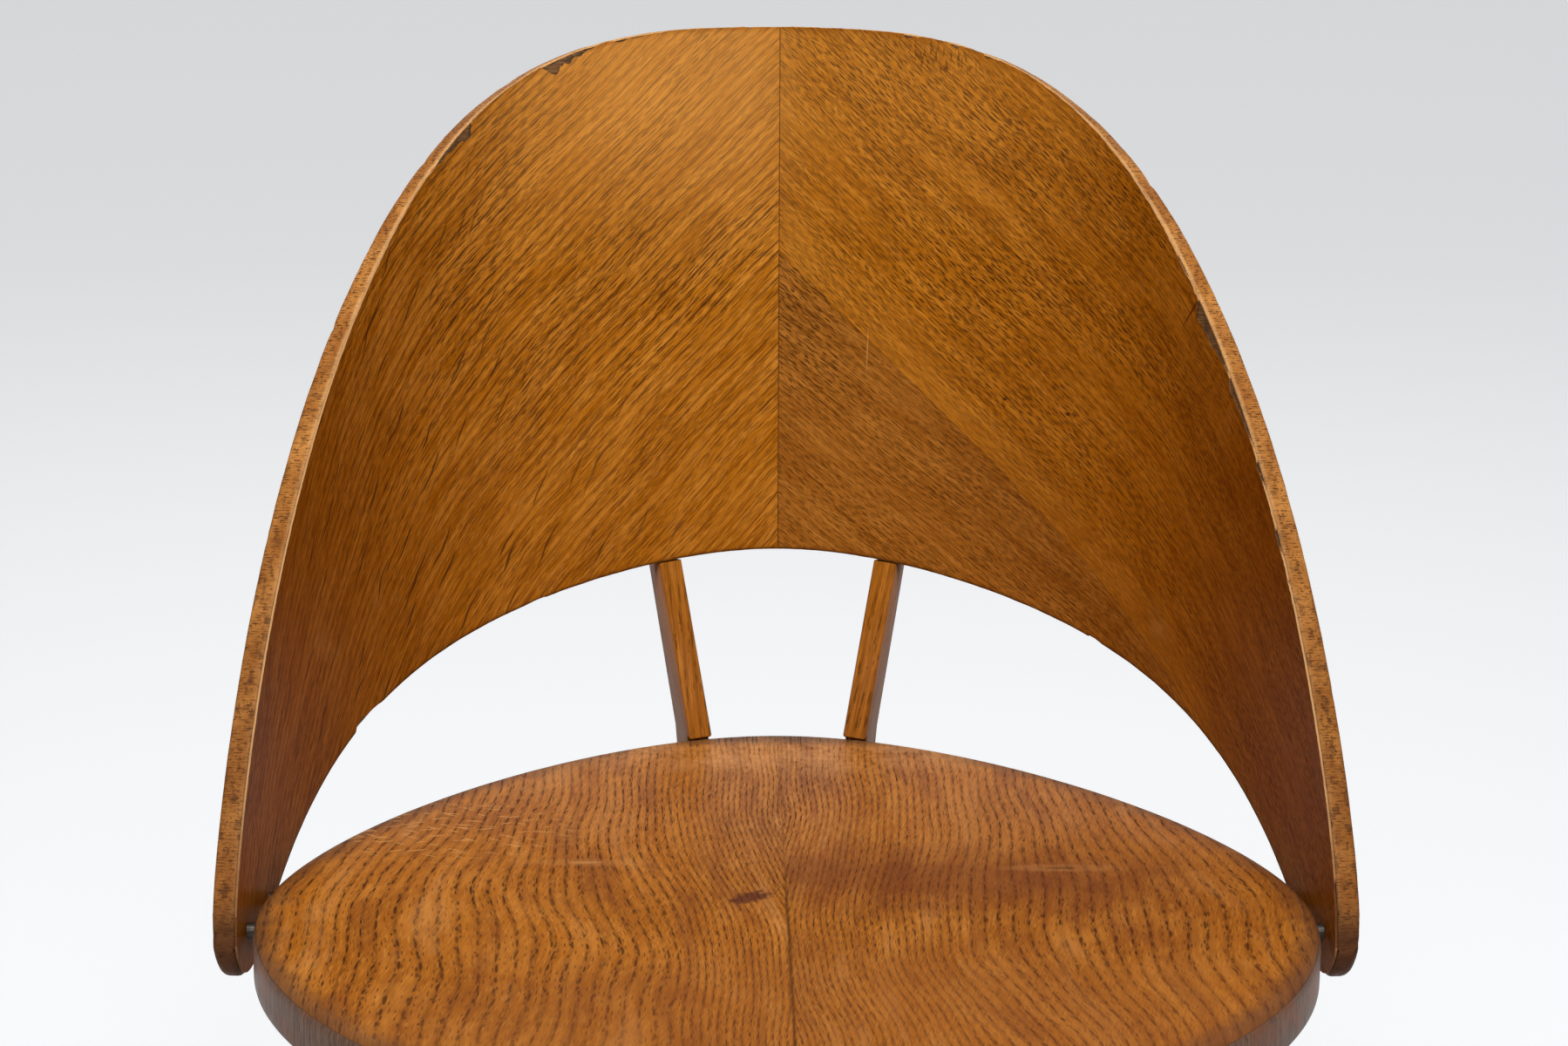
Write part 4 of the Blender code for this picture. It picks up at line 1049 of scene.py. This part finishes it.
def seat_outline(count):
    """Right half of the seat outline, front to rear, in the chair's frame."""
    front = SEAT_WIDEST_Y - SEAT_FRONT
    rear = SEAT_WIDEST_Y + SEAT_REAR
    half = SEAT_HALF_WIDTH
    knots = (((0, front), (0, front), (SEAT_FRONT_PULL, front)),
             ((half, SEAT_WIDEST_Y), (half, SEAT_WIDEST_Y - SEAT_FRONT_SIDE_PULL),
              (half, SEAT_WIDEST_Y + SEAT_REAR_SIDE_PULL)),
             ((0, rear), (SEAT_REAR_PULL, rear), (0, rear)))
    return spread(bezier(knots), count)


def seat_grain(flat, side):
    """Grain of one seat leaf: wavering rows that spread outside a small knot and close in inside it."""
    out = flat[:, 0] * side
    ahead = -flat[:, 1]
    flow = SEAT_FLOW[side]
    outer = np.clip((out - flow.knot + 0.045) / 0.125, 0.0, 1.0)
    shift = -(1 - outer) * flow.inward * smooth(ahead, flow.bend_from, flow.bend_to)
    shift += outer * 0.030 * smooth(ahead, -0.11, 0.045)
    shift -= 0.0030 * smooth(ahead, 0.020, 0.13) * np.exp(-((out - flow.knot - 0.048) / 0.045) ** 2)
    shift += flow.onward * smooth(ahead, 0.085, 0.21) * (0.35 + 0.65 * np.exp(-((out - 0.09) / 0.07) ** 2))
    shift += 0.0006 * np.sin(ahead * 75.0 + out * 55.0)
    level = np.maximum(out - shift, -0.05)
    size = SEAT_RING + SEAT_RING_GROWTH * level
    ring = np.log(size / SEAT_RING) / SEAT_RING_GROWTH
    if side > 0:
        ring += 57.0
        ahead -= 0.413
    return np.stack([-ahead, ring, size], axis=1)


def seat_drop(edge):
    """How far the rounded top edge lies below the seat's top at a distance from the outline."""
    inside = np.clip(SEAT_ROUND - edge, 0.0, SEAT_ROUND)
    return SEAT_ROUND - np.sqrt(SEAT_ROUND ** 2 - inside ** 2)


def rear_splinters(outline):
    """Extra depth of the broken veneer at the middle of the rear edge."""
    x, y = outline.T
    near = smooth(y, SEAT_WIDEST_Y + SEAT_REAR - 0.012, SEAT_WIDEST_Y + SEAT_REAR - 0.003)
    near = near * smooth(-np.abs(x), -0.040, -0.022)
    return near * REAR_SPLINTER * (1.0 + wander(x, 11, ((2300, 0.6), (4100, 0.4))))


def build_seat_veneer(name, side, face, edge, bare):
    """One half of the seat's face veneer, rounded down towards the outline."""
    outline = seat_outline(SEAT_STEPS * 2)[1:-1]
    along = np.gradient(outline, axis=0)
    normal = np.stack([along[:, 1], -along[:, 0]], axis=1)
    normal /= np.linalg.norm(normal, axis=1)[:, None]
    run = np.cumsum(np.linalg.norm(along, axis=1))
    inset = SEAT_LEDGE + SEAT_WAVER * (1.0 + wander(run, 4)) + rear_splinters(outline)
    rim = outline - normal * inset[:, None]
    seam = JOINT_GAP / 2
    centre = np.stack([np.full(len(rim), seam), rim[:, 1]], axis=1)
    share = 1.0 - np.cos(np.linspace(0.0, math.pi / 2, SEAT_ROWS + 1))
    grid = rim[:, None, :] * (1 - share)[None, :, None] + centre[:, None, :] * share[None, :, None]
    grid[..., 0] = np.maximum(grid[..., 0], seam) * side
    flat = grid.reshape(-1, 2)
    gap = distance_to(flat, seat_outline(SEAT_DENSE_STEPS) * np.array((side, 1.0)))
    faces = grid_faces(len(grid) - 1, SEAT_ROWS, flip=side > 0)
    top = SEAT_TOP - seat_drop(gap)
    front, rear = (np.column_stack((flat, level)) for level in (top, top - VENEER))
    piece = veneer(name, faces, front, rear, (face, bare, edge))
    double = np.concatenate((flat, flat))
    strength = 0.80 + 0.20 * smooth(np.abs(double[:, 0]), 0.045, 0.115)
    gaps = np.concatenate((gap, gap))
    mark(piece, sheet=double, grain=seat_grain(double, side), strength=strength, edge=gaps)


def build_seat_core(bare, side_finish, under):
    """Seat board under the veneers, with its side and underside."""
    half = seat_outline(SEAT_STEPS)
    outline = np.concatenate((half, half[-2:0:-1] * MIRROR))
    normal = -outward(outline)
    run = arc_length(outline)

    # Cross-section from the veneer's bed over the edge to the underside: inset, level, kind of face
    profile = []
    for distance in (0.030, 0.012, 0.006, 0.004, 0.0026, SEAT_LEDGE + JOINT_GAP):
        profile.append((distance, SEAT_TOP - float(seat_drop(np.array(distance))) - BED, 0))
    for distance in (SEAT_LEDGE - JOINT_GAP, 0.0008, 0.0004, 0.00015, 0.0):
        profile.append((distance, SEAT_TOP - float(seat_drop(np.array(distance))), 1))
    for level in np.linspace(SEAT_TOP - SEAT_ROUND, SEAT_BOTTOM + SEAT_BOTTOM_ROUND, ROUND_STEPS)[1:]:
        profile.append((0.0, level, 1))
    for angle in np.linspace(0.0, math.pi / 2, ROUND_STEPS)[1:]:
        profile.append((SEAT_BOTTOM_ROUND * (1 - math.cos(angle)),
                        SEAT_BOTTOM + SEAT_BOTTOM_ROUND * (1 - math.sin(angle)), 1))

    count = len(outline)
    points = []
    rim = []
    for distance, level, _ in profile:
        levels = np.full(count, level)
        points.append(np.column_stack((outline - normal * distance, levels)))
        rim.append(np.column_stack((run, levels)))
    points = np.concatenate(points)
    rings = [list(range(number * count, (number + 1) * count)) for number in range(len(profile))]
    faces = [tuple(rings[0])]
    kinds = [0]
    for first, second, (_, _, kind) in zip(rings, rings[1:], profile):
        faces += ring_faces(first, second)
        kinds += [kind] * count
    faces.append(tuple(rings[-1][::-1]))
    kinds.append(2)

    materials = (bare, side_finish, under)
    piece = new_piece("seat_core", points, faces, materials, kinds, "seat_panel")
    grain = np.column_stack((points[:, 1], points[:, 0] / SOLID_RING, np.full(len(points), SOLID_RING)))
    mark(piece, rim=np.concatenate(rim), sheet=points[:, :2], grain=grain, strength=np.ones(len(points)))
    piece.data.set_sharp_from_angle(angle=SHARP_ANGLE)


def build_seat():
    face = oak_face("oak_seat", SEAT_OAK, SEAT_MARKS, gloss=0.38, places=seat_places)
    under = oak_face("oak_seat_under", UNDER_OAK, UNDER_MARKS, gloss=0.55)
    bare = bare_finish("under_seat_veneer")
    side = seat_side_finish("seat_side")
    build_seat_core(bare, side, under)
    for name, sign in (("seat_veneer_left", -1), ("seat_veneer_right", 1)):
        build_seat_veneer(name, sign, face, side, bare)


# Posts, legs, rails and hardware

def long_axes(points):
    """Principal directions of a piece, longest first, and its middle."""
    middle = (points.max(axis=0) + points.min(axis=0)) / 2
    _, _, axes = np.linalg.svd(points - points.mean(axis=0), full_matrices=False)
    return axes, middle


def build_solid_oak():
    """Posts, rails and legs, each with grain along its length."""
    oak = oak_face("oak_solid", SOLID_OAK, SOLID_MARKS, gloss=0.45, places=solid_places)
    names = [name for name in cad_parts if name.startswith(("back_post", "cross_rail"))]
    names += [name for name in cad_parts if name.startswith("leg_") and "bolt" not in name]
    for number, node in enumerate(sorted(names)):
        piece = dressed(node, "oak", oak)
        points = np.array([vert.co for vert in piece.data.vertices])
        axes, middle = long_axes(points)
        local = (points - middle) @ axes.T
        ring = (local[:, 1] + 0.85 * local[:, 2]) / SOLID_RING + 31.0 * number
        grain = np.column_stack((local[:, 0] + 0.9 * number, ring, np.full(len(points), SOLID_RING)))
        mark(piece, grain=grain, strength=np.ones(len(points)))


def build_hardware():
    """Screws, spacers, bolts, nuts and glides."""
    steel = metal_finish("zinc_steel", STEEL, STEEL_DARK, 0.34)
    brass = metal_finish("dull_brass", BRASS, BRASS_DARK, 0.30)
    nylon = nylon_finish("dark_nylon")
    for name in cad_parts:
        if name.startswith(("tip_", "seat_screw", "leg_bolt", "barrel_nut")):
            dressed(name, "steel", steel)
        elif name.startswith("post_"):
            dressed(name, "brass", brass)
        elif name.startswith("glide"):
            dressed(name, "nylon", nylon)


# Stage

def seen_directly(tree):
    """1 for rays from the camera, from mirrors and through glass, 0 for light that falls on the object."""
    path = tree.nodes.new("ShaderNodeLightPath")
    camera, glossy, through = (Value(tree, path.outputs[name]) for name in
                               ("Is Camera Ray", "Is Glossy Ray", "Is Transmission Ray"))
    return camera.largest(glossy).largest(through)


def build_floor():
    mesh = bpy.data.meshes.new("floor")
    bm = bmesh.new()
    bmesh.ops.create_grid(bm, x_segments=1, y_segments=1, size=FLOOR_HALF_SIZE)
    bm.to_mesh(mesh)
    bm.free()
    finish = Finish("pale_floor")
    glow = seen_directly(finish.tree) * FLOOR_GLOW_LEVEL
    finish.set(finish.shader, Base_Color=FLOOR_COLOUR, Roughness=FLOOR_ROUGHNESS,
               Emission_Color=FLOOR_GLOW, Emission_Strength=glow)
    mesh.materials.append(finish.material)
    new_object("floor", mesh)


def build_light():
    world = bpy.data.worlds.new("studio")
    world.use_nodes = True
    background = world.node_tree.nodes["Background"]
    background.inputs["Color"].default_value = WHITE
    level = seen_directly(world.node_tree) * BACKDROP + WORLD_LIGHT
    feed(world.node_tree, background.inputs["Strength"], level)
    bpy.context.scene.world = world
    for name, (place, size, power) in LAMPS.items():
        data = bpy.data.lights.new(name, "AREA")
        data.shape = "RECTANGLE"
        data.size, data.size_y = size
        data.energy = power
        lamp = new_object(name, data)
        lamp.location = place
        lamp.rotation_euler = (Vector(LAMP_TARGET) - Vector(place)).to_track_quat("-Z", "Y").to_euler()
    bpy.context.scene.view_settings.view_transform = "Standard"


def build_camera():
    yaw, pitch, roll = CAMERA_YAW, CAMERA_PITCH, CAMERA_ROLL
    ahead = Vector((math.sin(yaw) * math.cos(pitch), math.cos(yaw) * math.cos(pitch), -math.sin(pitch)))
    right = Vector((math.cos(yaw), -math.sin(yaw), 0.0))
    up = right.cross(ahead)
    right_rolled = right * math.cos(roll) + up * math.sin(roll)
    up_rolled = up * math.cos(roll) - right * math.sin(roll)
    turn = Matrix((right_rolled, up_rolled, -ahead)).transposed().to_4x4()
    data = bpy.data.cameras.new("photo_view")
    data.sensor_width = SENSOR
    data.lens = FOCAL_PIXELS / PHOTO_WIDTH * SENSOR
    camera = new_object("photo_view", data)
    camera.matrix_world = Matrix.Translation(CAMERA_PLACE) @ turn
    bpy.context.scene.camera = camera


build_back()
build_seat()
build_solid_oak()
build_hardware()
build_floor()
build_light()
build_camera()
